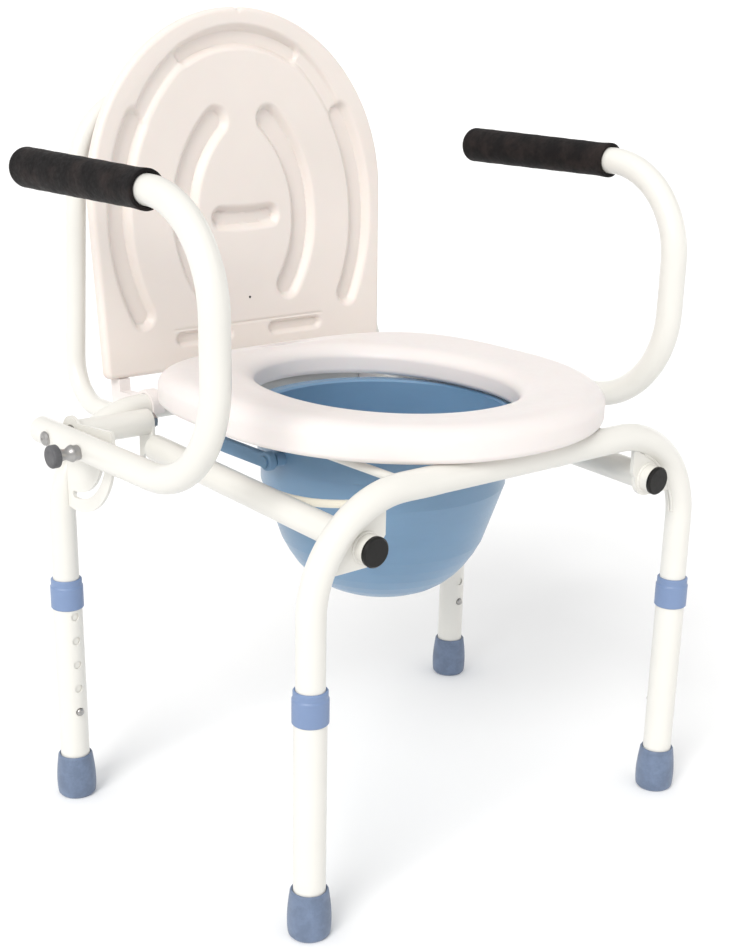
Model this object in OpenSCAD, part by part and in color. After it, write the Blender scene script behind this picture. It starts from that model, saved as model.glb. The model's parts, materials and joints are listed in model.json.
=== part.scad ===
// Commode chair with drop arms, a lift-up seat, a lid, a bucket and four telescopic legs.
// Millimetres. X runs across the chair, the sitter faces -Y, Z is up and the floor is z = 0.
// Distances in Y are measured from midway between the front and rear legs.
// Right and left are the sitter's: right is -X.

/* [Frame tube] */
// Outer diameter of the frame tube
tube_d = 25.4; // [22:0.2:27]
// Wall of the frame tube
tube_wall = 1.4; // [1:0.1:2.5]
// Height of the crossbar axes
crossbar_z = 389.5; // [360:1:460]
// Distance of the front and rear frames from the middle
leg_y = 176.35; // [170:1:190]
// Half width between the front leg axes
front_leg_x = 227.3; // [220:1:234]
// Distance of the rear leg axes inside the arm axes
rear_leg_in = 14; // [13:0.5:18]
// Bend radius of the front frame
front_bend_r = 95; // [85:1:100]
// Bend radius of the rear frame
rear_bend_r = 90; // [80:1:91]
// Height of the frame tube ends inside the leg extensions
frame_end_z = 70; // [55:1:80]

/* [Side rails and gussets] */
// Distance of the side rail axes inside the front leg axes
rail_in = 54.3; // [50:0.1:60]
// Height of the side rail axis at its front end
rail_front_z = 345; // [335:1:348]
// Rise of the side rail towards the rear
rail_rise_deg = 2.3; // [0:0.1:3]
// How far the side rail stands out in front of the gusset
rail_nose = 10.6; // [4:0.2:16]
// Plate thickness of the gussets
gusset_t = 4; // [2:0.5:6]
// Plate left round the rail hole
gusset_rim = 4.8; // [3:0.2:8]
// Reach of the gusset inside the side rail axis
gusset_reach = 21; // [17:1:25]
// Thickness of the rail plug heads
plug_head_t = 4; // [2:0.5:8]
// Length of the rail plug stems
plug_stem = 14; // [6:1:30]

/* [Arm pivots] */
// Pivot axis of the arms, distance behind the middle
pivot_y = 151; // [149:0.5:151]
// Pivot axis of the arms, height below the crossbar axes
pivot_drop = 7.5; // [6:0.5:12]
// Wall of the pivot sleeve
sleeve_wall = 1.6; // [1:0.1:3]
// Pivot bolt diameter
bolt_d = 8; // [6:0.5:9]
// Thickness of the inner bracket plate
bracket_t = 3; // [2:0.5:5]
// Half width of the inner bracket plate in the Y direction
bracket_half = 12; // [10:0.5:12]
// How far the bracket reaches below the side rail axis
bracket_below = 15; // [13:1:25]
// Across flats of the pivot nut
nut_af = 13; // [11:0.5:16]
// Thickness of the pivot nut
nut_t = 6.5; // [4:0.5:9]
// Thickness of the pivot washer
washer_t = 1; // [0.5:0.1:1]
// Outer diameter of the pivot washer
washer_d = 18; // [14:0.5:24]

/* [Arm lock plates] */
// Thickness of the lock plate
lock_plate_t = 3; // [2:0.5:4]
// Slot radius measured from the pivot
slot_r = 58; // [50:1:62]
// Slot width
slot_w = 6.4; // [6.2:0.1:8]
// Plate left outside the slot
slot_margin = 12.4; // [8:0.2:16]
// Hub radius of the lock plate
lock_hub_r = 17; // [15:0.5:22]

/* [Arms] */
// Distance of the arm axes from the middle of the chair
arm_x = 270; // [269.5:0.5:275]
// Height of the grip axis
grip_z = 619.6; // [580:1:650]
// Position of the upright of the arm in front of the middle
arm_front_y = 108; // [100:1:125]
// Upper bend radius of the arm
arm_top_bend_r = 88; // [60:1:95]
// Lower bend radius of the arm
arm_low_bend_r = 100; // [60:1:110]
// Tube left behind the pivot
arm_tail = 30; // [20:1:34]
// Rear end of the grip tube
arm_rear_y = 180; // [150:1:190]
// Grip outer diameter
grip_d = 33; // [30:0.5:33]
// Front end of the grip in front of the middle
grip_front_y = 27; // [10:1:30]
// Foam left behind the end of the tube
grip_end_t = 8; // [4:1:14]

/* [Pull knobs] */
// Pin diameter
pin_d = 5.8; // [4:0.1:5.8]
// Pull of the knob
knob_travel = 6; // [4:0.5:7]
// Knob head diameter
knob_d = 15; // [12:0.5:20]
// Knob head thickness
knob_t = 8; // [5:0.5:12]
// Length of the waisted shank
shank_l = 15; // [10:0.5:20]
// Turns of the pin spring
spring_turns = 6; // [3:1:8]
// Wire of the pin spring
spring_wire = 0.9; // [0.5:0.1:1.2]

/* [Leg extensions] */
// Wall of the leg extension tube
ext_wall = 1.3; // [1:0.1:2]
// Top of the extension tube
ext_top_z = 228; // [222:1:235]
// Height of the lowest snap hole
button_z = 94.5; // [90:0.5:100]
// Distance between the snap holes
hole_pitch = 25.4; // [20:0.2:26]
// Number of snap holes
hole_count = 5; // [3:1:5]
// Snap button diameter
button_d = 7.6; // [6:0.2:9]
// How far the snap button stands out of the extension
button_proud = 3.2; // [2:0.1:4]
// Height of the collar
collar_h = 30; // [24:1:40]
// Wall of the collar round the extension tube
collar_wall = 1.5; // [1:0.1:1.6]
// Lip of the collar above the extension tube
collar_lip = 5; // [3:0.5:8]
// Height of the foot
foot_h = 45; // [35:1:55]
// Foot diameter at its widest
foot_d = 39; // [36:0.5:44]
// Foot diameter at the rim
foot_rim_d = 34; // [32:0.5:36]
// Foot diameter on the floor
foot_base_d = 33; // [28:0.5:36]
// Rubber under the extension tube
foot_floor = 7; // [4:0.5:12]

/* [Seat] */
// Half width of the seat
seat_half_x = 192; // [180:1:194]
// Front reach of the seat
seat_front = 207; // [195:1:215]
// Rear reach of the seat
seat_rear = 190; // [184:1:193]
// Thickness of the seat
seat_t = 32; // [24:1:40]
// Half width of the seat hole
hole_half_x = 112; // [100:1:116]
// Front reach of the seat hole
hole_front = 130; // [118:1:140]
// Rear reach of the seat hole
hole_rear = 148; // [130:1:152]
// Rounding at the top of the seat's outer edge
seat_round = 15; // [8:1:20]
// Rounding at the top of the hole
hole_round = 16; // [8:1:20]

/* [Lid] */
// Half width of the lid
lid_half_x = 178; // [165:1:184]
// Height along the lid where it is widest
lid_wide_s = 190; // [170:1:210]
// Height along the lid of its top
lid_top_s = 369; // [350:1:375]
// Height along the lid of its bottom edge
lid_bottom_s = 20; // [18:1:30]
// Half width of the lid at the bottom
lid_bottom_x = 173; // [168:1:180]
// Thickness of the lid
lid_t = 13.5; // [11:0.5:18]
// Lean of the open lid behind upright
lid_lean_deg = 3; // [2:0.5:3]
// Depth of the panel inside the lid's rim
panel_step = 1.5; // [0:0.1:3]
// Width of the lid's rim
rim_w = 13; // [9:0.5:14]
// Depth of the pressed grooves
groove_depth = 5; // [2:0.5:6]
// Width of the pressed grooves
groove_w = 16; // [10:0.5:18]

/* [Hinges] */
// Middle of the seat hinge clips
seat_clip_x = 107; // [104:1:110]
// Width of the seat hinge clips
seat_clip_w = 22; // [14:1:22]
// Middle of the lid hinge clips
lid_clip_x = 155; // [154:1:157]
// Width of the lid hinge clips
lid_clip_w = 12; // [8:0.5:12]
// Wall of the hinge clips
clip_wall = 3.4; // [2.5:0.1:4]
// Screw diameter
screw_d = 3.8; // [3:0.1:5]
// Screw head diameter
screw_head_d = 8; // [7:0.5:10]

/* [Back tube] */
// Outer diameter of the back tube
back_d = 19.2; // [16:0.2:22]
// Wall of the back tube
back_wall = 1.2; // [1:0.1:2]
// Height of the top of the back tube
back_top_z = 673; // [640:1:690]
// Half width of the back tube where its top bends start
back_half_x = 178; // [172:1:180]
// Inward lean of the back tube's legs
back_lean_deg = 3.2; // [0:0.1:4]
// Top bend radius of the back tube
back_bend_r = 75; // [50:1:90]
// Bend radius at the foot of the back tube
back_foot_r = 45; // [30:1:48]
// Height of the back tube's forward ends below the crossbar
back_foot_drop = 5; // [2:0.5:8]

/* [Bucket] */
// Bucket axis behind the middle
bucket_y = 6; // [0:1:8]
// Radius of the band under the rim
bucket_band_r = 121.5; // [110:0.5:123]
// Width of the rim outside the band
bucket_rim_w = 11.5; // [9:0.5:13]
// Height of the bucket rim above the floor
bucket_top_z = 400; // [398:0.5:401]
// Depth of the bucket
bucket_h = 178; // [140:1:190]
// Height of the band
band_h = 42; // [40:1:60]
// Wall of the bucket
bucket_wall = 2.4; // [2:0.1:3]
// Thickness of the rim
bucket_rim_t = 4; // [3:0.5:5]
// Radius of the bucket floor
bucket_floor_r = 30; // [20:1:60]
// Height of the bail straps
bail_h = 14; // [10:0.5:14]
// Thickness of the bail straps
bail_t = 8; // [5:0.5:8]
// Distance of the bail's middle outside the rim
bail_out = 4; // [3:0.5:6]
// Rear reach of the bail from the bucket axis
bail_reach = 154; // [148:1:158]
// Height of the bail pivots below the rim
bail_drop = 30; // [28:1:34]

/* [Bucket rods] */
// Distance of the bucket rods outside the bucket's band
rod_out = 5.5; // [4.5:0.5:7]
// Bucket rod diameter
rod_d = 8; // [6:0.5:8]
// Stay rod diameter
stay_d = 7.5; // [5:0.5:8]
// Height of the stay rod's level part
stay_z = 352; // [350:1:356]
// Where the stay rod starts to curve, in front of the middle
stay_turn_y = 27; // [10:1:60]
// How far back the stay rod runs beside the rail, behind the middle
stay_end_y = 60; // [20:1:65]

/* [Hidden] */

// Clearances
slide_gap = 0.3;
seat_gap = 0.3;
bolt_gap = 0.3;
lid_seat_gap = 0.5;
thread_gap = 0.05;

// Frame
tube_r = tube_d / 2;
tube_ri = tube_r - tube_wall;
pivot_z = crossbar_z - pivot_drop;
sleeve_r = leg_y - pivot_y - tube_r - seat_gap;
rear_leg_x = arm_x - rear_leg_in;
rail_x = front_leg_x - rail_in;
gusset_in_x = rail_x - gusset_reach;
lock_in_x = arm_x - tube_r - slide_gap - washer_t - lock_plate_t;
lock_out_x = lock_in_x + lock_plate_t;
bracket_x = rail_x + 2;
bracket_front_y = pivot_y - bracket_half;
rail_start_y = -leg_y - gusset_t / 2 - rail_nose;

// Legs
ext_ri = tube_r + slide_gap;
ext_ro = ext_ri + ext_wall;
collar_r = ext_ro + collar_wall + thread_gap;
hole_r = button_d / 2 + 0.4;

// Seat and lid, measured from the crossbar axis
seat_bottom = crossbar_z + tube_r + seat_gap;
seat_top = seat_bottom + seat_t;
clip_ri = tube_r + slide_gap;
clip_ro = clip_ri + clip_wall;
lid_face = seat_top + lid_seat_gap - crossbar_z;
lid_back = lid_face + lid_t;
lean_sin = sin(lid_lean_deg);
lean_cos = cos(lid_lean_deg);

// Back tube: its top bar stands just behind the open lid
back_r = back_d / 2;
lid_s_at_bar = (back_top_z - crossbar_z + lid_back * lean_sin) / lean_cos;
back_y = leg_y + lid_back * lean_cos + lid_s_at_bar * lean_sin + (back_r + seat_gap) / lean_cos;

// Middle of the chair from its front edge to its rear edge: the origin stands there on the floor
mid_y = (back_y + back_r - seat_front) / 2;

// Bucket
bucket_rim_r = bucket_band_r + bucket_rim_w;
bail_x = bucket_rim_r + bail_out;
rod_x = bucket_band_r + rod_out;
bail_z = bucket_top_z - bail_drop;
peg_d = 8;
rod_z = bucket_top_z - bucket_rim_t - rod_d / 2 - seat_gap;

steel = [0.93, 0.93, 0.90];
cream = [0.93, 0.87, 0.84];
blue = [0.45, 0.55, 0.74];
dark = [0.12, 0.12, 0.13];
bright = [0.75, 0.76, 0.78];

// ---------- general shapes ----------

module painted(c) {
    color(c) translate([0, -mid_y, 0]) children();
}

module mirror_pair() {
    children();
    mirror([1, 0, 0]) children();
}

// draws in the YZ plane: the drawing's x is Y, its y is Z, and thickness runs along X
module in_yz() {
    rotate([90, 0, 90]) children();
}

module ring(ro, ri) {
    difference() {
        circle(r = ro, $fn = 64);
        if (ri > 0) circle(r = ri, $fn = 64);
    }
}

// straight tube along +Z
module pipe(ro, ri, h) {
    linear_extrude(h) ring(ro, ri);
}

// tube bend about Z, from angle a0 through a degrees
module bend(r, ro, ri, a0, a) {
    rotate([0, 0, a0]) rotate_extrude(angle = a, $fn = 96) translate([r, 0]) ring(ro, ri);
}

// rod or tube along X from x0 to x1
module along_x(x0, x1, ro, ri = 0) {
    translate([x0, 0, 0]) rotate([0, 90, 0]) pipe(ro, ri, x1 - x0);
}

// upright U of tube in the XZ plane
module u_frame(half_x, bend_r, ro, ri) {
    mid_x = half_x - bend_r;
    mid_z = crossbar_z - bend_r;
    translate([-mid_x, 0, crossbar_z]) along_x(0, 2 * mid_x, ro, ri);
    mirror_pair() {
        translate([mid_x, 0, mid_z]) rotate([90, 0, 0]) bend(bend_r, ro, ri, 0, 90);
        translate([half_x, 0, frame_end_z]) pipe(ro, ri, mid_z - frame_end_z);
    }
}

module rear_u(ro, ri) {
    translate([0, leg_y, 0]) u_frame(rear_leg_x, rear_bend_r, ro, ri);
}

// closed loft through rings of equal length, each turning right-handed about the way they travel
module skin(rings, looped) {
    n = len(rings[0]);
    m = len(rings);
    last = looped ? m - 1 : m - 2;
    sides = [for (j = [0 : last], i = [0 : n - 1])
        let(q = (j + 1) % m, p = (i + 1) % n)
        each [[j * n + i, q * n + i, q * n + p], [j * n + i, q * n + p, j * n + p]]];
    caps = looped ? [] : [[for (i = [0 : n - 1]) i], [for (i = [n - 1 : -1 : 0]) (m - 1) * n + i]];
    polyhedron(points = [for (r = rings) each r], faces = concat(sides, caps));
}

function power(v, e) = sign(v) * pow(abs(v), e);

// oval with its own front and rear reach and squareness
function oval(half_x, front, rear, front_n, rear_n, z, count) =
    [for (i = [0 : count - 1])
        let(t = 360 * (i + 0.5) / count, n = sin(t) < 0 ? front_n : rear_n)
        [half_x * power(cos(t), 2 / n), (sin(t) < 0 ? front : rear) * power(sin(t), 2 / n), z]];

// point on a quadratic curve with one control point
function curve(a, b, c, t) = (1 - t) * (1 - t) * a + 2 * t * (1 - t) * b + t * t * c;

// ---------- frame ----------

module button_bore(x, y, inward) {
    translate([x, y, button_z]) rotate([-90 * inward, 0, 0]) cylinder(r = hole_r, h = tube_d * 0.7, $fn = 32);
}

module front_frame() {
    painted(steel) difference() {
        translate([0, -leg_y, 0]) u_frame(front_leg_x, front_bend_r, tube_r, tube_ri);
        mirror_pair() button_bore(front_leg_x, -leg_y, 1);
    }
}

module rear_frame() {
    painted(steel) difference() {
        rear_u(tube_r, tube_ri);
        mirror_pair() button_bore(rear_leg_x, leg_y, -1);
    }
}

// rail height at a given y
function rail_z(y) = rail_front_z + (y - rail_start_y) * tan(rail_rise_deg);

module gusset_outline() {
    bend_x = front_leg_x - front_bend_r;
    bend_z = crossbar_z - front_bend_r;
    hole_z = rail_z(-leg_y);
    foot_z = hole_z - tube_r - gusset_rim;
    difference() {
        intersection() {
            translate([bend_x, bend_z]) circle(r = front_bend_r - tube_r - seat_gap, $fn = 96);
            union() {
                polygon([[gusset_in_x, crossbar_z], [gusset_in_x, hole_z + 7],
                    [rail_x, foot_z], [front_leg_x, foot_z - 1], [front_leg_x, crossbar_z]]);
                translate([rail_x, hole_z]) circle(r = tube_r + gusset_rim, $fn = 64);
            }
        }
        translate([rail_x, hole_z]) circle(r = tube_r + seat_gap, $fn = 64);
    }
}

module gusset_left() {
    painted(steel) translate([0, gusset_t / 2 - leg_y, 0]) rotate([90, 0, 0]) linear_extrude(gusset_t)
        gusset_outline();
}

module gusset_right() {
    mirror([1, 0, 0]) gusset_left();
}

module on_rail() {
    translate([rail_x, rail_start_y, rail_front_z]) rotate([rail_rise_deg - 90, 0, 0]) children();
}

module side_rail_left() {
    rail_l = bracket_front_y - rail_start_y;
    cut = 4 * tube_d;
    painted(steel) difference() {
        on_rail() pipe(tube_r, tube_ri, rail_l + 10);
        translate([rail_x - cut / 2, bracket_front_y, rail_front_z - cut / 2]) cube(cut);
    }
}

module side_rail_right() {
    mirror([1, 0, 0]) side_rail_left();
}

module rail_plugs() {
    head_r = tube_r + 0.8;
    painted(dark) mirror_pair() on_rail() {
        rotate([180, 0, 0]) rotate_extrude($fn = 64)
            polygon([[0, 0], [head_r, 0], [head_r, plug_head_t - 1.5], [head_r - 1.5, plug_head_t],
                [0, plug_head_t]]);
        cylinder(r = tube_ri - thread_gap, h = plug_stem, $fn = 64);
    }
}

// ---------- arm pivots ----------

module at_pivot() {
    translate([0, pivot_y, pivot_z]) children();
}

module pivot_sleeves() {
    painted(steel) mirror_pair() at_pivot()
        along_x(bracket_x + bracket_t / 2, lock_in_x, sleeve_r, sleeve_r - sleeve_wall);
}

module bracket_outline() {
    low = rail_z(bracket_front_y) - bracket_below;
    difference() {
        union() {
            circle(r = bracket_half, $fn = 64);
            translate([-bracket_half, low - pivot_z]) square([2 * bracket_half, pivot_z - low]);
        }
        circle(r = bolt_d / 2 + bolt_gap, $fn = 48);
        translate([0, low - pivot_z + 1]) circle(r = bracket_half / 2, $fn = 48);
    }
}

module rail_brackets() {
    painted(steel) mirror_pair() at_pivot() translate([bracket_x - bracket_t / 2, 0, 0]) in_yz()
        linear_extrude(bracket_t) bracket_outline();
}

// quarter of slotted plate from straight ahead (180) to straight down (270)
module lock_outline() {
    reach = slot_r + slot_w / 2 + slot_margin;
    spare = 9;
    weld_y = leg_y - tube_r - seat_gap - pivot_y;
    far = 2 * reach;
    difference() {
        union() {
            circle(r = lock_hub_r, $fn = 64);
            intersection() {
                circle(r = reach, $fn = 96);
                polygon([[lock_hub_r * 0.6, lock_hub_r * 0.6],
                    [far * cos(180 - spare), far * sin(180 - spare)],
                    [-far, -far], [weld_y, -far], [weld_y, -lock_hub_r]]);
            }
        }
        circle(r = bolt_d / 2 + bolt_gap, $fn = 48);
        slot_outline();
    }
}

module slot_outline() {
    half = slot_w / 2;
    intersection() {
        ring(slot_r + half, slot_r - half);
        translate([-2 * slot_r, -2 * slot_r]) square([2 * slot_r, 2 * slot_r]);
    }
    translate([-slot_r, 0]) circle(r = half, $fn = 48);
    translate([0, -slot_r]) circle(r = half, $fn = 48);
}

module lock_plate_left() {
    painted(steel) at_pivot() translate([lock_in_x, 0, 0]) in_yz() linear_extrude(lock_plate_t)
        lock_outline();
}

module lock_plate_right() {
    mirror([1, 0, 0]) lock_plate_left();
}

module pivot_washers() {
    painted(bright) mirror_pair() at_pivot()
        along_x(lock_out_x, lock_out_x + washer_t, washer_d / 2, bolt_d / 2 + bolt_gap);
}

bolt_head_x = arm_x + tube_r + slide_gap;

module pivot_bolts() {
    end_x = bracket_x - bracket_t / 2 - nut_t - 2;
    head_r = bolt_d * 0.85;
    head_t = bolt_d / 2;
    painted(bright) mirror_pair() at_pivot() {
        along_x(end_x, bolt_head_x + 1, bolt_d / 2);
        translate([bolt_head_x, 0, 0]) rotate([0, 90, 0]) rotate_extrude($fn = 64)
            polygon([[0, 0], [head_r, 0], [head_r, 1],
                for (k = [20 : 20 : 90]) [head_r * cos(k), 1 + (head_t - 1) * sin(k)]]);
    }
}

module pivot_nuts() {
    nut_x = bracket_x - bracket_t / 2;
    painted(bright) mirror_pair() at_pivot() translate([nut_x - nut_t, 0, 0]) rotate([0, 90, 0])
        difference() {
        cylinder(r = nut_af / sqrt(3), h = nut_t, $fn = 6);
        translate([0, 0, -1]) cylinder(r = bolt_d / 2 + thread_gap, h = nut_t + 2, $fn = 48);
    }
}

// ---------- back tube ----------

module back_half(ro, ri) {
    bend_z = back_top_z - back_bend_r;
    bend_x = back_half_x - back_bend_r;
    drop = bend_z - (crossbar_z - back_foot_drop);
    leg_l = drop / cos(back_lean_deg) + back_bend_r * tan(back_lean_deg) - back_foot_r;
    translate([0, back_y, back_top_z]) along_x(0, bend_x, ro, ri);
    translate([bend_x, back_y, bend_z]) rotate([90, 0, 0]) rotate([0, 0, 90]) mirror([0, 1, 0])
        bend(back_bend_r, ro, ri, 0, 90 - back_lean_deg);
    translate([bend_x, back_y, bend_z]) rotate([0, -back_lean_deg, 0]) {
        translate([back_bend_r, 0, -leg_l]) {
            pipe(ro, ri, leg_l);
            translate([0, -back_foot_r, 0]) in_yz() bend(back_foot_r, ro, ri, -90, 90);
            translate([0, -back_foot_r, -back_foot_r]) rotate([90, 0, 0])
                pipe(ro, ri, back_y - back_foot_r - leg_y);
        }
    }
}

module back_tube() {
    painted(steel) difference() {
        mirror_pair() back_half(back_r, back_r - back_wall);
        rear_u(tube_r + seat_gap, 0);
    }
}

// ---------- bucket and its rods ----------

module bucket_rods() {
    reach = leg_y - sqrt(pow(tube_r + seat_gap, 2) - pow(rod_z - crossbar_z, 2));
    painted(steel) mirror_pair() translate([rod_x, -reach, rod_z]) rotate([-90, 0, 0])
        cylinder(r = rod_d / 2, h = 2 * reach, $fn = 48);
}

// the stay rod lies along the inner sides of the rails and curves forward to the front crossbar
stay_x = rail_x - tube_r - stay_d / 2 - seat_gap;
stay_front_y = leg_y - (tube_r + stay_d / 2 + seat_gap) * 0.78;
stay_front_z = crossbar_z - (tube_r + stay_d / 2 + seat_gap) * 0.63;
stay_power = 0.9;

function stay_point(a) = [stay_x * power(cos(a), stay_power),
    -stay_turn_y - (stay_front_y - stay_turn_y) * power(sin(a), stay_power),
    stay_z + (stay_front_z - stay_z) * (1 - pow(abs(cos(a)), 1.2))];

function unit(v) = v / norm(v);

function tube_ring(p, dir, r, sides) =
    let(across = unit(cross(dir, [0, 0, 1])), up = cross(across, dir))
    [for (k = [0 : sides - 1]) p + r * (cos(360 * k / sides) * across - sin(360 * k / sides) * up)];

module stay_rod() {
    r = stay_d / 2;
    steps = 24;
    bar = [for (i = [0 : 2 * steps]) stay_point(180 * i / (2 * steps))];
    path = concat([[stay_x, 1 - stay_turn_y, stay_z]], bar, [[-stay_x, 1 - stay_turn_y, stay_z]]);
    rings = [for (i = [0 : len(path) - 1])
        let(a = path[max(i - 1, 0)], b = path[min(i + 1, len(path) - 1)], end = i == 0 || i == len(path) - 1)
        tube_ring(path[i], end ? [0, i == 0 ? -1 : 1, 0] : unit(b - a), r, 12)];
    painted(cream) {
        skin(rings, false);
        mirror_pair() translate([stay_x, 1 - stay_turn_y, stay_z]) rotate([-90, 0, 0]) {
            cylinder(r = r, h = stay_end_y + stay_turn_y - 2, $fn = 48);
            cylinder(r = r - 1, h = stay_end_y + stay_turn_y - 1, $fn = 48);
        }
    }
}

module bucket() {
    floor_z = -bucket_h;
    inner_r = bucket_band_r - bucket_wall;
    body_r = bucket_band_r - 3;
    cone_z = -0.7 * bucket_h;
    cone_r = 0.835 * body_r;
    turn_r = 0.62 * body_r;
    count = 8;
    body_top = -band_h - 25;
    outer = [for (i = [0 : count])
        curve([bucket_floor_r, floor_z], [turn_r, floor_z + 1], [cone_r, cone_z], i / count)];
    inner = [for (p = outer) [p[0] - bucket_wall * (p[0] > bucket_floor_r ? 1 : 0), p[1] + bucket_wall]];
    lip = bucket_rim_r;
    painted(blue) translate([0, bucket_y, bucket_top_z]) difference() {
        union() {
            rotate_extrude($fn = 96) polygon(concat([[0, floor_z]], outer,
                [[body_r, body_top], [body_r, -band_h], [bucket_band_r, -band_h + 1],
                    [bucket_band_r, -bucket_rim_t],
                [lip, -bucket_rim_t], [lip, -1.5], [lip - 1.5, 0], [inner_r + 2, 0], [inner_r, -2],
                [inner_r, -band_h], [body_r - bucket_wall, -band_h - 1],
                    [body_r - bucket_wall, body_top + bucket_wall]],
                [for (i = [count : -1 : 0]) inner[i]], [[0, floor_z + bucket_wall]]));
            mirror_pair() translate([0, 0, -bail_drop]) {
                along_x(bucket_band_r - 1, bail_x + bail_t / 2 + 0.4, peg_d / 2);
                along_x(bail_x + bail_t / 2 + 0.4, bail_x + bail_t / 2 + 2, peg_d / 2 + 1.2);
                along_x(bucket_band_r - 1, bail_x - bail_t / 2 - 2, peg_d / 2 + 2.5);
            }
        }
    }
}

function bail_edge(half_x, reach, straight, count) =
    [for (i = [0 : count])
        let(a = 180 * i / count) [half_x * cos(a), straight + (reach - straight) * sin(a)]];

module bail() {
    boss_r = bail_h / 2 + 1.8;
    straight = 66;
    in_x = bail_x - bail_t / 2;
    out_x = bail_x + bail_t / 2;
    painted(blue) translate([0, bucket_y, bail_z]) difference() {
        union() {
            translate([0, 0, -bail_h / 2]) linear_extrude(bail_h) difference() {
                polygon(concat([[out_x, 0]], bail_edge(out_x, bail_reach, straight, 36), [[-out_x, 0]]));
                polygon(concat([[in_x, -1]], bail_edge(in_x, bail_reach - bail_t, straight, 36),
                    [[-in_x, -1]]));
            }
            mirror_pair() along_x(in_x, out_x, boss_r);
        }
        mirror_pair() along_x(in_x - 1, out_x + 1, peg_d / 2 + bolt_gap);
    }
}

// ---------- seat ----------

clip_flange_y = 46;
clip_flange_t = 4;
clip_mouth = 14;
seat_screw_y = leg_y - 36;
seat_screw_in = 14;
seat_oval_n = 2.1;
seat_rear_n = 3.4;
hole_oval_n = 2.1;

function seat_outer(inset, z) =
    oval(seat_half_x - inset, seat_front - inset, seat_rear - inset, seat_oval_n, seat_rear_n, z, 72);
function seat_inner(inset, z) =
    oval(hole_half_x + inset, hole_front + inset, hole_rear + inset, hole_oval_n, hole_oval_n, z, 72);

// quarter turns of edge rounding: sideways and upward radii
module seat_body() {
    low_r = 6;
    dish = 2.5;
    top = seat_top;
    bottom = seat_bottom;
    outer_low = [for (a = [0 : 30 : 90]) seat_outer(low_r * (1 - sin(a)), bottom + low_r * (1 - cos(a)))];
    outer_top = [for (a = [0 : 18 : 90])
        seat_outer(seat_round * 1.3 * (1 - cos(a)), top - seat_round * (1 - sin(a)))];
    inner_top = [for (a = [90 : -18 : 0])
        seat_inner(hole_round * 1.4 * (1 - cos(a)), top - dish - (hole_round - dish) * (1 - sin(a)))];
    inner_low = [for (a = [90 : -30 : 0]) seat_inner(low_r * (1 - sin(a)), bottom + low_r * (1 - cos(a)))];
    skin(concat(outer_low, outer_top, inner_top, inner_low), true);
}

module seat() {
    painted(cream) difference() {
        seat_body();
        mirror_pair() translate([seat_clip_x, seat_screw_y, seat_bottom - 1])
            cylinder(r = screw_d / 2 + thread_gap, h = seat_screw_in + 2, $fn = 32);
    }
}

module seat_clip_outline() {
    roof = seat_bottom - crossbar_z;
    difference() {
        union() {
            circle(r = clip_ro, $fn = 64);
            translate([-clip_flange_y, roof - clip_flange_t]) square([clip_flange_y, clip_flange_t]);
            translate([-clip_ro - 3, roof - clip_flange_t - 5]) square([8, 6]);
        }
        circle(r = clip_ri, $fn = 64);
        translate([-clip_mouth / 2, 0]) square([clip_mouth, 2 * clip_ro]);
        translate([-2 * clip_flange_y, roof]) square([4 * clip_flange_y, clip_ro]);
    }
}

module seat_hinge_clips() {
    painted(cream) mirror_pair() difference() {
        translate([seat_clip_x - seat_clip_w / 2, leg_y, crossbar_z]) in_yz() linear_extrude(seat_clip_w)
            seat_clip_outline();
        translate([seat_clip_x, seat_screw_y, seat_bottom - 10])
            cylinder(r = screw_d / 2 + bolt_gap, h = 20, $fn = 32);
    }
}

// pan-head screw pointing along +Z, its head under z = 0
module pan_screw(l) {
    head_r = screw_head_d / 2;
    head_t = screw_d * 0.6;
    cylinder(r = screw_d / 2, h = l, $fn = 32);
    rotate([180, 0, 0]) rotate_extrude($fn = 48)
        polygon([[0, 0], [head_r, 0], [head_r, head_t * 0.4], [head_r * 0.7, head_t], [0, head_t]]);
}

module seat_hinge_screws() {
    painted(bright) mirror_pair() translate([seat_clip_x, seat_screw_y, seat_bottom - clip_flange_t])
        pan_screw(clip_flange_t + seat_screw_in - 1);
}

// ---------- lid ----------

// the lid's own frame: x across, y up along the lid, z towards the sitter, origin on the hinge axis
module on_lid() {
    translate([0, leg_y, crossbar_z]) rotate([90 - lid_lean_deg, 0, 0]) children();
}

function lid_ring(inset, z) =
    let(corner = 16, top = lid_top_s - lid_wide_s, cx = lid_bottom_x - corner, cs = lid_bottom_s + corner,
        cr = corner - inset)
    concat([for (i = [0 : 48]) [(lid_half_x - inset) * cos(180 * i / 48),
        lid_wide_s + (top - inset) * sin(180 * i / 48), z]],
        [for (i = [0 : 5]) [-cx + cr * cos(180 + 18 * i), cs + cr * sin(180 + 18 * i), z]],
        [for (i = [0 : 5]) [cx + cr * cos(270 + 18 * i), cs + cr * sin(270 + 18 * i), z]]);

module lid_body() {
    edge = 5;
    back_edge = 4;
    panel = -lid_face - panel_step;
    back = [for (a = [0 : 30 : 90]) lid_ring(back_edge * (1 - sin(a)), -lid_back + back_edge * (1 - cos(a)))];
    front = [for (a = [0 : 18 : 90]) lid_ring(edge * (1 - cos(a)), -lid_face - edge * (1 - sin(a)))];
    step = [lid_ring(rim_w - 2, -lid_face), lid_ring(rim_w, panel)];
    skin(concat(back, front, step), false);
}

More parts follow.
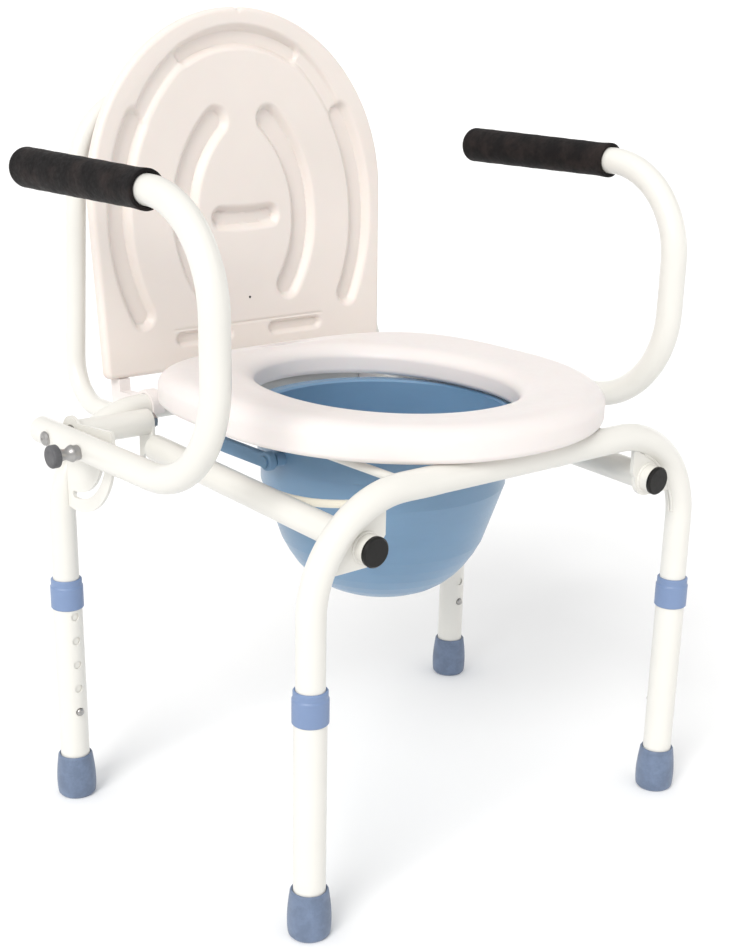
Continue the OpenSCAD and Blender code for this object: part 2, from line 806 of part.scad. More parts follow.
// outline of a slot of width w along an arc from a0 to a1 degrees, with round ends
function slot_ring(x, s, r, a0, a1, w, z) =
    let(n = 12, m = 5, h = w / 2)
    [for (p = concat(
        [for (i = [0 : n]) let(a = a0 + (a1 - a0) * i / n) (r + h) * [cos(a), sin(a)]],
        [for (i = [1 : m - 1]) r * [cos(a1), sin(a1)] + h * [cos(a1 + 180 * i / m), sin(a1 + 180 * i / m)]],
        [for (i = [n : -1 : 0]) let(a = a0 + (a1 - a0) * i / n) (r - h) * [cos(a), sin(a)]],
        [for (i = [1 : m - 1]) r * [cos(a0), sin(a0)] + h * [cos(a0 + 180 + 180 * i / m),
            sin(a0 + 180 + 180 * i / m)]]))
        [x + p[0], s + p[1], z]];

// pressed groove with sloping sides, cut into the lid's panel
module groove_arc(x, s, r, a0, a1, w = groove_w) {
    face = -lid_face - panel_step;
    depths = [[w + 2, 1], [w * 0.84, -groove_depth * 0.45], [w * 0.6, -groove_depth * 0.86],
        [w * 0.4, -groove_depth]];
    skin([for (d = [3 : -1 : 0]) slot_ring(x, s, r, a0, a1, depths[d][0], face + depths[d][1])], false);
}

// straight groove, drawn as an arc of a very large radius
module groove_line(x0, x1, s, w) {
    far = 4000;
    half_a = asin((x1 - x0) / 2 / far);
    groove_arc((x0 + x1) / 2, s - far, far, 90 - half_a, 90 + half_a, w);
}

lid_screw_s = [28, 42];
lid_tongue_s = 50;
tongue_t = 3.2;

module lid() {
    fold_s = 59;
    painted(cream) on_lid() difference() {
        lid_body();
        groove_arc(0, 242, 101, 47, 133);
        mirror_pair() {
            groove_arc(-38.7, 164.7, 193.8, -29, 33);
            groove_arc(-55.7, 166.4, 137.1, -36, 51);
            groove_line(22, 86, 47, 12);
            for (s = lid_screw_s) translate([lid_clip_x, s, -lid_back - 1])
                cylinder(r = screw_d / 2 + thread_gap, h = 10, $fn = 32);
        }
        groove_arc(0, 363, 188, -101, -79, 12);
        translate([-96, fold_s, -lid_face - panel_step - 0.8]) cube([192, 1.2, 5]);
        translate([0, 85, -lid_face - 6]) cylinder(r = 1.6, h = 10, $fn = 32);
        translate([0, lid_top_s + 1.5, -lid_back - 1]) cylinder(r = 4, h = lid_t + 2, $fn = 32);
    }
}

module lid_clip_outline() {
    arm_half = 8;
    far = lid_back + tongue_t;
    difference() {
        union() {
            circle(r = clip_ro, $fn = 64);
            translate([-far, -arm_half]) square([far, 2 * arm_half]);
            translate([-far, -arm_half]) square([tongue_t, lid_tongue_s + arm_half]);
            translate([-lid_back, arm_half]) square([lid_t, lid_bottom_s - arm_half]);
        }
        circle(r = clip_ri, $fn = 64);
        rotate([0, 0, -52]) translate([0, -9]) square([40, 18]);
    }
}

// clip drawings have the lid's thickness axis as x and its height as y
module lid_hinge_clips() {
    painted(cream) on_lid() mirror_pair() difference() {
        translate([lid_clip_x + lid_clip_w / 2, 0, 0]) rotate([0, -90, 0]) linear_extrude(lid_clip_w)
            lid_clip_outline();
        for (s = lid_screw_s) translate([lid_clip_x, s, -lid_back - 10])
            cylinder(r = screw_d / 2 + bolt_gap, h = 20, $fn = 32);
    }
}

module lid_hinge_screws() {
    painted(bright) on_lid() mirror_pair() for (s = lid_screw_s)
        translate([lid_clip_x, s, -lid_back - tongue_t]) pan_screw(tongue_t + 8);
}

// ---------- arms ----------

module arm_path(ro, ri) {
    low_y = arm_low_bend_r - arm_front_y;
    top_y = arm_top_bend_r - arm_front_y;
    low_z = pivot_z + arm_low_bend_r;
    top_z = grip_z - arm_top_bend_r;
    in_yz() {
        translate([low_y, pivot_z, 0]) along_x(0, pivot_y + arm_tail - low_y, ro, ri);
        translate([low_y, low_z, 0]) bend(arm_low_bend_r, ro, ri, 180, 90);
        translate([-arm_front_y, low_z, 0]) rotate([-90, 0, 0]) pipe(ro, ri, top_z - low_z);
        translate([top_y, top_z, 0]) bend(arm_top_bend_r, ro, ri, 90, 90);
        translate([top_y, grip_z, 0]) along_x(0, arm_rear_y - top_y, ro, ri);
    }
}

guide_r = 5;
pin_collar_r = 4.8;

module at_pin() {
    translate([0, pivot_y - slot_r, pivot_z]) children();
}

module arm_tube_left() {
    painted(steel) difference() {
        translate([arm_x, 0, 0]) arm_path(tube_r, tube_ri);
        at_pivot() along_x(arm_x - 20, arm_x + 20, bolt_d / 2 + bolt_gap);
        at_pin() along_x(arm_x - 20, arm_x, pin_d / 2 + bolt_gap);
        at_pin() along_x(arm_x, arm_x + 20, guide_r + thread_gap);
    }
}

module arm_grip_left() {
    foam_ri = tube_r + thread_gap;
    r = grip_d / 2;
    l = grip_front_y + arm_rear_y;
    end = l + grip_end_t;
    painted(dark) translate([arm_x, -grip_front_y, grip_z]) rotate([-90, 0, 0]) rotate_extrude($fn = 64)
        polygon(concat([[foam_ri, 2], [foam_ri + 1, 0], [r - 0.6, 0], [r, 1], [r, 4], [r - 0.8, 12]],
            [for (a = [0 : 15 : 90]) [r - 6 + 5.2 * cos(a), end - 6 + 6 * sin(a)]],
            [[0, end], [0, l + 0.2], [foam_ri, l + 0.2]]));
}

module arm_end_cap_left() {
    stem = 12;
    dome = 3;
    painted(steel) translate([arm_x, pivot_y + arm_tail, pivot_z]) rotate([-90, 0, 0]) {
        translate([0, 0, -stem]) cylinder(r = tube_ri - thread_gap, h = stem, $fn = 64);
        rotate_extrude($fn = 64)
            polygon(concat([[0, 0]], [for (a = [0 : 15 : 90]) [tube_r - 4 + 4 * cos(a), dome * sin(a)]],
            [[0, dome]]));
    }
}

guide_in_x = arm_x + tube_ri - 1.6;
guide_face_x = arm_x + tube_r + 0.2;
guide_out_x = guide_face_x + 5;

module pin_guide_left() {
    bore = pin_d / 2 + bolt_gap;
    painted(bright) at_pin() {
        along_x(guide_in_x, guide_face_x, guide_r, bore);
        along_x(guide_face_x, guide_out_x, guide_r + 2, bore);
    }
}

pin_tip_x = lock_in_x - 0.8;
pin_collar_x = arm_x - tube_ri + 1.2;
pin_collar_t = 2;
shank_x = guide_out_x + 0.3;
knob_x = shank_x + shank_l;

module pull_pin_left() {
    r = pin_d / 2;
    painted(bright) at_pin() {
        along_x(pin_tip_x, shank_x + 1, r);
        along_x(pin_collar_x, pin_collar_x + pin_collar_t, pin_collar_r);
        translate([shank_x, 0, 0]) rotate([0, 90, 0]) rotate_extrude($fn = 48)
            polygon(concat([[0, 0]],
                [for (i = [0 : 12]) [3.4 + 2 * pow(cos(180 * i / 12), 2), shank_l * i / 12]],
                [[0, shank_l]]));
    }
}

module pull_knob_left() {
    r = knob_d / 2;
    painted(dark) at_pin() translate([knob_x, 0, 0]) rotate([0, 90, 0]) rotate_extrude($fn = 64)
        polygon(concat([[0, 0], [r - 1.5, 0], [r, 1.5]],
            [for (a = [0 : 15 : 90]) [r - 3 + 3 * cos(a), knob_t - 3 + 3 * sin(a)]], [[0, knob_t]]));
}

module pin_spring_left() {
    coil_r = pin_collar_r - spring_wire / 2 - 0.1;
    x0 = pin_collar_x + pin_collar_t + spring_wire / 2 + 0.1;
    x1 = guide_in_x - spring_wire / 2 - 0.1;
    per_turn = 8;
    count = spring_turns * per_turn;
    rings = [for (i = [0 : count])
        let(a = 360 * i / per_turn, along = [(x1 - x0) * i / count, coil_r * cos(a), coil_r * sin(a)],
            out = [0, cos(a), sin(a)])
        [for (k = [0 : 5]) along + spring_wire / 2 * (cos(60 * k) * out - sin(60 * k) * [1, 0, 0])]];
    painted(bright) at_pin() translate([x0, 0, 0]) skin(rings, false);
}

module arm_tube_right() {
    mirror([1, 0, 0]) arm_tube_left();
}

module arm_grip_right() {
    mirror([1, 0, 0]) arm_grip_left();
}

module arm_end_cap_right() {
    mirror([1, 0, 0]) arm_end_cap_left();
}

module pin_guide_right() {
    mirror([1, 0, 0]) pin_guide_left();
}

module pull_pin_right() {
    mirror([1, 0, 0]) pull_pin_left();
}

module pull_knob_right() {
    mirror([1, 0, 0]) pull_knob_left();
}

module pin_spring_right() {
    mirror([1, 0, 0]) pin_spring_left();
}

// ---------- legs ----------

// side is -1 on the sitter's right, end is -1 at the front; +Y of the drawing points into the chair
module at_leg(side, end) {
    x = end < 0 ? front_leg_x : rear_leg_x;
    translate([side * x, end * leg_y - mid_y, 0]) rotate([0, 0, end < 0 ? 0 : 180]) children();
}

module leg_extension() {
    color(steel) translate([0, 0, foot_floor]) difference() {
        pipe(ext_ro, ext_ri, ext_top_z - foot_floor);
        for (i = [0 : hole_count - 1]) translate([0, 0, button_z - foot_floor + i * hole_pitch])
            rotate([-90, 0, 0]) cylinder(r = hole_r, h = 20, $fn = 32);
    }
}

module leg_collar() {
    bore = ext_ro + thread_gap;
    low = ext_top_z + collar_lip - collar_h;
    lip_r = collar_r - 0.9;
    color(blue) translate([0, 0, low]) rotate_extrude($fn = 64)
        polygon([[bore, 0], [collar_r - 0.6, 0], [collar_r, 0.8], [collar_r, collar_h - 8],
            [lip_r, collar_h - 6.5],
            [lip_r, collar_h - 1], [lip_r - 1, collar_h], [ext_ri, collar_h], [ext_ri, collar_h - collar_lip],
            [bore, collar_h - collar_lip]]);
}

module leg_foot() {
    bore = ext_ro + thread_gap;
    wide_r = foot_d / 2;
    wide_z = foot_h * 0.36;
    steps = 6;
    color(blue) rotate_extrude($fn = 64)
        polygon(concat([[0, 0], [foot_base_d / 2, 0]],
            [for (i = [1 : steps])
                curve([foot_base_d / 2 + 1.5, 1.2], [wide_r, 4], [wide_r, wide_z], i / steps)],
            [for (i = [1 : steps])
                curve([wide_r, wide_z], [wide_r, foot_h * 0.6], [foot_rim_d / 2, foot_h - 1.5], i / steps)],
            [[foot_rim_d / 2 - 1, foot_h], [bore + 0.8, foot_h], [bore, foot_h - 1.2], [bore, foot_floor],
                [0, foot_floor]]));
}

// bent spring strip with its round button, standing in the end of the frame tube
module snap_button() {
    strip = 0.8;
    strip_w = 9;
    face = tube_ri - 1.6;
    low = button_z - 8;
    knee = button_z + 8;
    top = button_z + 44;
    tip_y = ext_ro + button_proud;
    dome = 2.4;
    color(bright) {
        translate([-strip_w / 2, 0, 0]) in_yz() linear_extrude(strip_w) difference() {
            polygon([[face, low], [face, knee], [2, top], [-2, top], [-face, knee], [-face, low]]);
            polygon([[face - strip, low - 1], [face - strip, knee], [1.4, top - strip], [-1.4, top - strip],
                [strip - face, knee], [strip - face, low - 1]]);
        }
        translate([0, face - 0.1, button_z]) rotate([-90, 0, 0]) rotate_extrude($fn = 48)
            polygon(concat([[0, 0], [button_d / 2, 0]],
                [for (a = [0 : 15 : 90]) [button_d / 2 * cos(a),
                    tip_y - dome - face + 0.1 + dome * sin(a)]]));
    }
}

module leg_extension_front_right() {
    at_leg(-1, -1) leg_extension();
}

module leg_extension_front_left() {
    at_leg(1, -1) leg_extension();
}

module leg_extension_rear_right() {
    at_leg(-1, 1) leg_extension();
}

module leg_extension_rear_left() {
    at_leg(1, 1) leg_extension();
}

module leg_collar_front_right() {
    at_leg(-1, -1) leg_collar();
}

module leg_collar_front_left() {
    at_leg(1, -1) leg_collar();
}

module leg_collar_rear_right() {
    at_leg(-1, 1) leg_collar();
}

module leg_collar_rear_left() {
    at_leg(1, 1) leg_collar();
}

module leg_foot_front_right() {
    at_leg(-1, -1) leg_foot();
}

module leg_foot_front_left() {
    at_leg(1, -1) leg_foot();
}

module leg_foot_rear_right() {
    at_leg(-1, 1) leg_foot();
}

module leg_foot_rear_left() {
    at_leg(1, 1) leg_foot();
}

module snap_button_front_right() {
    at_leg(-1, -1) snap_button();
}

module snap_button_front_left() {
    at_leg(1, -1) snap_button();
}

module snap_button_rear_right() {
    at_leg(-1, 1) snap_button();
}

module snap_button_rear_left() {
    at_leg(1, 1) snap_button();
}

front_frame();
rear_frame();
gusset_right();
gusset_left();
side_rail_right();
side_rail_left();
rail_plugs();
pivot_sleeves();
rail_brackets();
lock_plate_right();
lock_plate_left();
pivot_bolts();
pivot_nuts();
pivot_washers();
back_tube();
bucket_rods();
stay_rod();
bucket();
bail();
seat();
seat_hinge_clips();
seat_hinge_screws();
lid();
lid_hinge_clips();
lid_hinge_screws();
arm_tube_right();
arm_grip_right();
arm_end_cap_right();
pin_guide_right();
pull_pin_right();
pull_knob_right();
pin_spring_right();
arm_tube_left();
arm_grip_left();
arm_end_cap_left();
pin_guide_left();
pull_pin_left();
pull_knob_left();
pin_spring_left();
leg_extension_front_right();
leg_extension_front_left();
leg_extension_rear_right();
leg_extension_rear_left();
leg_collar_front_right();
leg_collar_front_left();
leg_collar_rear_right();
leg_collar_rear_left();
leg_foot_front_right();
leg_foot_front_left();
leg_foot_rear_right();
leg_foot_rear_left();
snap_button_front_right();
snap_button_front_left();
snap_button_rear_right();
snap_button_rear_left();
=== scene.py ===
import json
import math

import bmesh
import bpy
import numpy as np
from bpy.props import FloatProperty, FloatVectorProperty, PointerProperty
from bpy.types import Operator, Panel, PropertyGroup
from mathutils import Matrix, Vector


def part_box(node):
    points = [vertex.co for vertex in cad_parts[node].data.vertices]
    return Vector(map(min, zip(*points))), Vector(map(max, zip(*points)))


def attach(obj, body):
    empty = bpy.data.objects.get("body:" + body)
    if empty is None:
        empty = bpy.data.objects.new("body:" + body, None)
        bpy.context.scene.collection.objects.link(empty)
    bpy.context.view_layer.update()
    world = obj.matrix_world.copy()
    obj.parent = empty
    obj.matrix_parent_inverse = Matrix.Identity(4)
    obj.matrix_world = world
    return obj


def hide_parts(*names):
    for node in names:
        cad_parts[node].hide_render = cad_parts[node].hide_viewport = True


bl_info = {
    "name": "Commode chair",
    "version": (1, 0, 0),
    "blender": (4, 5, 0),
    "location": "View3D > Sidebar > Commode chair",
    "description": "Surfaces, finishes, floor, light and camera for a drop-arm commode chair",
    "category": "Object",
}

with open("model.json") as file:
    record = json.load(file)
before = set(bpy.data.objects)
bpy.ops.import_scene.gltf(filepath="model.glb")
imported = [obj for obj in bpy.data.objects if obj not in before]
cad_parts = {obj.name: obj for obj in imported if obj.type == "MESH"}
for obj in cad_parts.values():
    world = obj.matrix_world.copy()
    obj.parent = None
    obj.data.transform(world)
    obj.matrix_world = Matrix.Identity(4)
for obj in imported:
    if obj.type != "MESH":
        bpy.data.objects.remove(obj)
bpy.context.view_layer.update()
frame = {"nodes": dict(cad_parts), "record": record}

MM = 0.001
SIDES = {"right": -1, "left": 1}
TURN = 2 * math.pi


def length(label, text, millimetres):
    """A size whose default is given in millimetres."""
    return FloatProperty(name=label, description=text, default=millimetres * MM, unit="LENGTH", precision=5)


def angle(label, text, degrees):
    """An angle whose default is given in degrees."""
    return FloatProperty(name=label, description=text, default=math.radians(degrees), unit="ROTATION")


def colour(label, text, rgb):
    """A colour whose default is given as linear red, green and blue."""
    return FloatVectorProperty(
        name=label, description=text, default=rgb, subtype="COLOR", size=3, min=0, max=1
    )


# ---------- sizes and colours ----------


class ChairFrameSizes(PropertyGroup):
    tube: length("Tube", "Outer diameter of the frame tube", 25.4)
    crossbar_z: length("Crossbars", "Height of the crossbar axes", 389.5)
    leg_y: length("Depth", "Distance of the front and rear frames from the middle", 176.35)
    front_x: length("Front width", "Half width between the front leg axes", 227.3)
    front_bend: length("Front bends", "Bend radius of the front frame", 95)
    rail_x: length("Rail width", "Half width between the side rail axes", 173)
    rail_z: length("Rail height", "Height of the side rail axis at its front end", 345)
    rail_rise: angle("Rail rise", "Slope of the side rails towards the rear", 2.3)
    rail_front: length("Rail front", "Front end of the side rails before the middle", 188.95)
    bead: length("Weld beads", "Radius of the weld beads", 1.5)


class ChairBackSizes(PropertyGroup):
    tube: length("Tube", "Outer diameter of the back tube", 19.2)
    top_z: length("Top", "Height of the top of the back tube", 673)
    half_x: length("Width", "Half width where the top bends end", 178)
    lean: angle("Lean", "Inward lean of the back tube's legs", 3.2)
    bend: length("Top bends", "Bend radius at the top", 75)
    foot_drop: length("Foot drop", "Forward ends below the crossbar axis", 5)


class ChairArmSizes(PropertyGroup):
    x: length("Width", "Distance of the arm axes from the middle", 270)
    grip_z: length("Grip height", "Height of the grip axis", 619.6)
    rear_y: length("Rear", "Rear end of the grip tube", 180)
    grip_front: length("Grip front", "Front end of the grip in front of the middle", 17)
    grip: length("Grip", "Outer diameter of the foam grip at its mouth", 33.6)
    grip_full: length("Grip, rear", "Outer diameter of the foam grip at its rear end", 35.4)
    grip_end: length("Grip end", "Foam left behind the end of the tube", 8)
    knob: length("Knob", "Diameter of the pull knob's head", 21)
    waist: length("Waist", "Diameter of the knob's waist at its narrowest", 10)
    waist_foot: length("Waist foot", "Flare of the waist's radius by the arm", 2.9)
    waist_head: length("Waist head", "Flare of the waist's radius by the head", 1.6)
    waist_long: length("Waist length", "Length of the waist", 14.9)


class ChairSeatSizes(PropertyGroup):
    half_x: length("Half width", "Half width of the seat", 192)
    front: length("Front", "Front reach of the seat", 206.8)
    rear: length("Rear", "Rear reach of the seat", 190)
    thick: length("Thickness", "Thickness of the seat", 32)
    bottom: length("Underside", "Height of the underside", 402.5)
    hole_x: length("Hole half width", "Half width of the hole", 112)
    hole_front: length("Hole front", "Front reach of the hole", 130)
    hole_rear: length("Hole rear", "Rear reach of the hole", 148)
    round: length("Edge rounding", "Rounding of the outer edge", 15)
    hole_round: length("Hole rounding", "Rounding of the hole's edge", 16)
    dish: length("Dish", "Fall of the top towards the hole", 2.5)


class ChairLidSizes(PropertyGroup):
    half_x: length("Half width", "Half width of the lid", 178)
    wide: length("Widest", "Height along the lid where it is widest", 190)
    top: length("Top", "Height along the lid of its top", 368.95)
    bottom: length("Bottom", "Height along the lid of its bottom edge", 20)
    bottom_x: length("Bottom half width", "Half width at the bottom", 173)
    corner: length("Corners", "Radius of the bottom corners", 7)
    face: length("Face", "Distance of the lid's face from the hinge axis", 45.5)
    thick: length("Thickness", "Thickness of the lid", 13.5)
    lean: angle("Lean", "Lean of the open lid behind upright", 3)
    rim: length("Rim", "Width of the rim", 13)
    step: length("Step", "Depth of the panel inside the rim", 1.5)
    step_run: length("Step run", "Run over which the panel falls inside the rim", 20)
    groove: length("Groove width", "Width of the pressed grooves between their lips", 31.7)
    groove_deep: length("Groove depth", "Depth of the pressed grooves", 7.5)
    groove_wall: length("Groove walls", "Run of a groove's sloping walls", 7.3)
    crease: length("Crease", "Extra depth at the foot of the groove walls", 0.7)
    top_groove: length("Top groove width", "Width of the groove under the top of the rim", 25)
    bar: length("Bar width", "Width of the short groove in the middle", 27.5)
    channel: length("Channel depth", "Depth of the channel that joins the outer grooves", 4.2)
    slot: length("Slot width", "Width of the small pressed slots", 17)
    slot_deep: length("Slot depth", "Depth of the small pressed slots", 5)
    fold: length("Fold", "Height of the fold line along the lid", 61)
    notch: length("Notch", "Depth of the notch at the top", 2.6)
    # The next two sizes place a small black disc on the lid's face: painted shade standing for the dark
    # inside of a small hole, not a mark of its own.
    hole_shade: length("Painted hole shade", "Diameter of the mark where the mould was fed", 2.6)
    hole_shade_up: length("Painted hole shade height", "Height of that mark along the lid", 86)


class ChairBucketSizes(PropertyGroup):
    y: length("Depth", "Bucket axis behind the middle", 6)
    rim: length("Rim", "Radius of the rim", 133)
    top: length("Top", "Height of the rim", 400)


class ChairColours(PropertyGroup):
    paint: colour("Frame paint", "Powder coat of the tubes", (0.735, 0.72, 0.675))
    cream: colour("Rod paint", "Paint of the stay rod", (0.77, 0.73, 0.62))
    seat: colour("Seat", "Moulded plastic of the seat", (0.785, 0.735, 0.715))
    lid: colour("Lid", "Moulded plastic of the lid", (0.80, 0.73, 0.68))
    bucket: colour("Bucket", "Plastic of the bucket", (0.155, 0.28, 0.43))
    collar: colour("Collar", "Plastic of the collars", (0.165, 0.235, 0.39))
    foot: colour("Feet", "Rubber of the feet", (0.115, 0.155, 0.235))
    grip: colour("Grips", "Foam of the grips", (0.009, 0.0078, 0.008))
    plug: colour("Plugs", "Plastic of the rail plugs", (0.006, 0.0055, 0.005))
    knob: colour("Knobs", "Plastic of the pull knobs", (0.085, 0.085, 0.09))
    steel: colour("Steel", "Plated steel of bolts, screws and pins", (0.44, 0.43, 0.42))


GROUPS = {
    "chair_frame": ChairFrameSizes,
    "chair_back": ChairBackSizes,
    "chair_arm": ChairArmSizes,
    "chair_seat": ChairSeatSizes,
    "chair_lid": ChairLidSizes,
    "chair_bucket": ChairBucketSizes,
    "chair_colours": ChairColours,
}

# ---------- surfaces ----------


def unit(v):
    """Vectors scaled to a length of one."""
    return v / np.linalg.norm(v, axis=-1, keepdims=True)


def ease(t):
    """Smooth step: 3 t squared less 2 t cubed, with t held between 0 and 1."""
    t = np.clip(t, 0, 1)
    return t * t * (3 - 2 * t)


def rounded(corners, radii, closed=False, step=math.radians(3)):
    """Polyline with rounded corners: at each an arc of that radius touches both neighbouring sides."""
    p = np.asarray(corners, float)
    n = len(p)
    out = [] if closed else [p[:1]]
    for i in range(0 if closed else 1, n if closed else n - 1):
        back, ahead = unit(p[i - 1] - p[i]), unit(p[(i + 1) % n] - p[i])
        between = math.acos(max(-1.0, min(1.0, float(back @ ahead))))
        if radii[i] <= 0 or between > math.pi - 1e-6:
            out.append(p[i : i + 1])
            continue
        centre = p[i] + unit(back + ahead) * radii[i] / math.sin(between / 2)
        reach = radii[i] / math.tan(between / 2)
        a, b = p[i] + back * reach - centre, p[i] + ahead * reach - centre
        sweep = math.pi - between
        t = np.linspace(0, 1, max(2, math.ceil(sweep / step)) + 1)[:, None]
        out.append(centre + (np.sin((1 - t) * sweep) * a + np.sin(t * sweep) * b) / math.sin(sweep))
    if not closed:
        out.append(p[-1:])
    return np.concatenate(out)


def around(path, closed=False):
    """The path's direction at each point and two unit vectors square to it.

    The first of the two is the direction crossed with one fixed slanted vector.
    """
    if closed:
        along = unit(np.roll(path, -1, 0) - np.roll(path, 1, 0))
    else:
        along = unit(np.gradient(path, axis=0))
    across = unit(np.cross(along, unit(np.array([0.53, 0.61, 0.59]))))
    return along, across, np.cross(across, along)


def circles(path, radius, sides, closed=False):
    """Rings of one radius, or one radius a ring, square to the path."""
    _, across, up = around(path, closed)
    t = (np.arange(sides) * TURN / sides)[None, :, None]
    r = np.broadcast_to(np.asarray(radius, float), (len(path),))[:, None, None]
    return path[:, None] + r * (np.cos(t) * across[:, None] + np.sin(t) * up[:, None])


def turned(profile, sides=96, closed=False):
    """Profile of radius and height carried round the Z axis."""
    p = np.asarray(profile, float)
    t = np.arange(sides) * TURN / sides
    x, y = p[:, 0:1] * np.cos(t), p[:, 0:1] * np.sin(t)
    return np.stack([x, y, np.broadcast_to(p[:, 1:2], x.shape)], -1), closed, True


def moved(grid, origin=(0, 0, 0), axes=None):
    """The same grid with its x, y and z along other axes, at another place."""
    points, wrap_u, wrap_v = grid
    if axes is not None:
        points = points @ np.asarray(axes, float)
    return points + np.asarray(origin, float), wrap_u, wrap_v


ALONG_X = [[0, 1, 0], [0, 0, 1], [1, 0, 0]]
ALONG_Y = [[0, 0, 1], [1, 0, 0], [0, 1, 0]]


def mirrored(grid):
    """The same grid on the other side of the chair."""
    return grid[0] * [-1, 1, 1], grid[1], grid[2]


def weld(path, radius, closed=True):
    """Bead along a path: its radius is a sine of the way along, as in a weld laid in small even steps."""
    sides, swell, step = 10, 0.13, 1.1 * MM
    gaps = np.linalg.norm(np.diff(path, axis=0, append=path[:1]), axis=1)
    far = np.cumsum(gaps) - gaps[0]
    ripple = radius * (1 + swell * np.sin(far / step * TURN / 2))
    rings = circles(path, ripple, sides, closed)
    if not closed:
        rings[0], rings[-1] = path[0], path[-1]
    return rings, closed, True


def hoop(centre, radius, axis, count=120):
    """Circle of evenly spaced points round an axis."""
    axis = unit(np.asarray(axis, float))
    a = unit(np.cross(axis, [0.31, 0.57, 0.76]))
    b = np.cross(axis, a)
    t = np.arange(count) * TURN / count
    return np.asarray(centre) + radius * (np.cos(t)[:, None] * a + np.sin(t)[:, None] * b)


def saddle(centre, axis, radius, other_point, other_axis, other_radius):
    """Where a tube meets a larger one: its outline is carried along its axis to the larger tube's surface.

    How far each point goes is the smaller root of the square that puts it at the larger radius.
    """
    axis, other_axis = unit(np.asarray(axis, float)), unit(np.asarray(other_axis, float))
    p = hoop(centre, radius, axis, 140)
    w = p - np.asarray(other_point)
    w -= (w @ other_axis)[:, None] * other_axis
    d = axis - (axis @ other_axis) * other_axis
    half, rest = w @ d, (w * w).sum(1) - other_radius**2
    root = np.sqrt(np.clip(half**2 - (d @ d) * rest, 0, None))
    return p + ((-half - root) / (d @ d))[:, None] * axis


def corners_of(nu, nv, wrap_u, wrap_v):
    """Corner numbers of the cells of a grid, joined round where a direction wraps."""
    rows, columns = np.arange(nu if wrap_u else nu - 1), np.arange(nv if wrap_v else nv - 1)
    a, b = np.meshgrid(rows, columns, indexing="ij")
    c, d = (a + 1) % nu, (b + 1) % nv
    return np.stack([a * nv + b, c * nv + b, c * nv + d, a * nv + d], -1).reshape(-1, 4)


def turned_out(points, cells):
    """The cells with their corners in the order that makes the volume they enclose positive."""
    p = points - points.mean(0)
    a, b, c, d = (p[cells[:, i]] for i in range(4))
    volume = (a * np.cross(b, c)).sum() + (a * np.cross(c, d)).sum()
    return cells if volume > 0 else cells[:, ::-1]


def piece(name, grids, body, finish, replaces=(), sharp=38):
    """One object from closed grids, moved from the chair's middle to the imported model's.

    Seams and poles are merged, faces point out, and edges over an angle in degrees stay sharp.
    """
    points, cells, count = [], [], 0
    for grid, wrap_u, wrap_v in grids:
        flat = grid.reshape(-1, 3)
        cells.append(turned_out(flat, corners_of(grid.shape[0], grid.shape[1], wrap_u, wrap_v)) + count)
        points.append(flat)
        count += len(flat)
    points, cells = np.concatenate(points) - [0, MIDDLE, 0], np.concatenate(cells)
    mesh = bpy.data.meshes.new(name)
    mesh.vertices.add(len(points))
    mesh.vertices.foreach_set("co", points.astype(np.float32).ravel())
    mesh.loops.add(cells.size)
    mesh.loops.foreach_set("vertex_index", cells.astype(np.int32).ravel())
    mesh.polygons.add(len(cells))
    mesh.polygons.foreach_set("loop_start", np.arange(0, cells.size, 4, dtype=np.int32))
    mesh.update(calc_edges=True)
    merge(mesh)
    mesh.shade_smooth()
    mesh.set_sharp_from_angle(angle=math.radians(sharp))
    mesh.materials.append(finish)
    made = bpy.data.objects.new(name, mesh)
    bpy.context.scene.collection.objects.link(made)
    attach(made, body)
    if replaces:
        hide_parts(*replaces)
    return made


def merge(mesh):
    """Joins points that share a place, to within 0.0015 mm, which closes seams and poles."""
    work = bmesh.new()
    work.from_mesh(mesh)
    bmesh.ops.remove_doubles(work, verts=work.verts, dist=1.5e-6)
    work.to_mesh(mesh)
    work.free()
    mesh.validate()


def front_middle():
    """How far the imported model's middle stands behind the legs' middle, from the front frame's box."""
    low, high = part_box("front_frame")
    return -ChairFrameSizes.__annotations__["leg_y"].keywords["default"] - (low.y + high.y) / 2


MIDDLE = front_middle()

# ---------- finishes ----------


def set_range(node, low, high, to_low, to_high):
    """Sets the two ranges that a Map Range node carries a value between."""
    for key, number in zip(("From Min", "From Max", "To Min", "To Max"), (low, high, to_low, to_high)):
        node.inputs[key].default_value = number


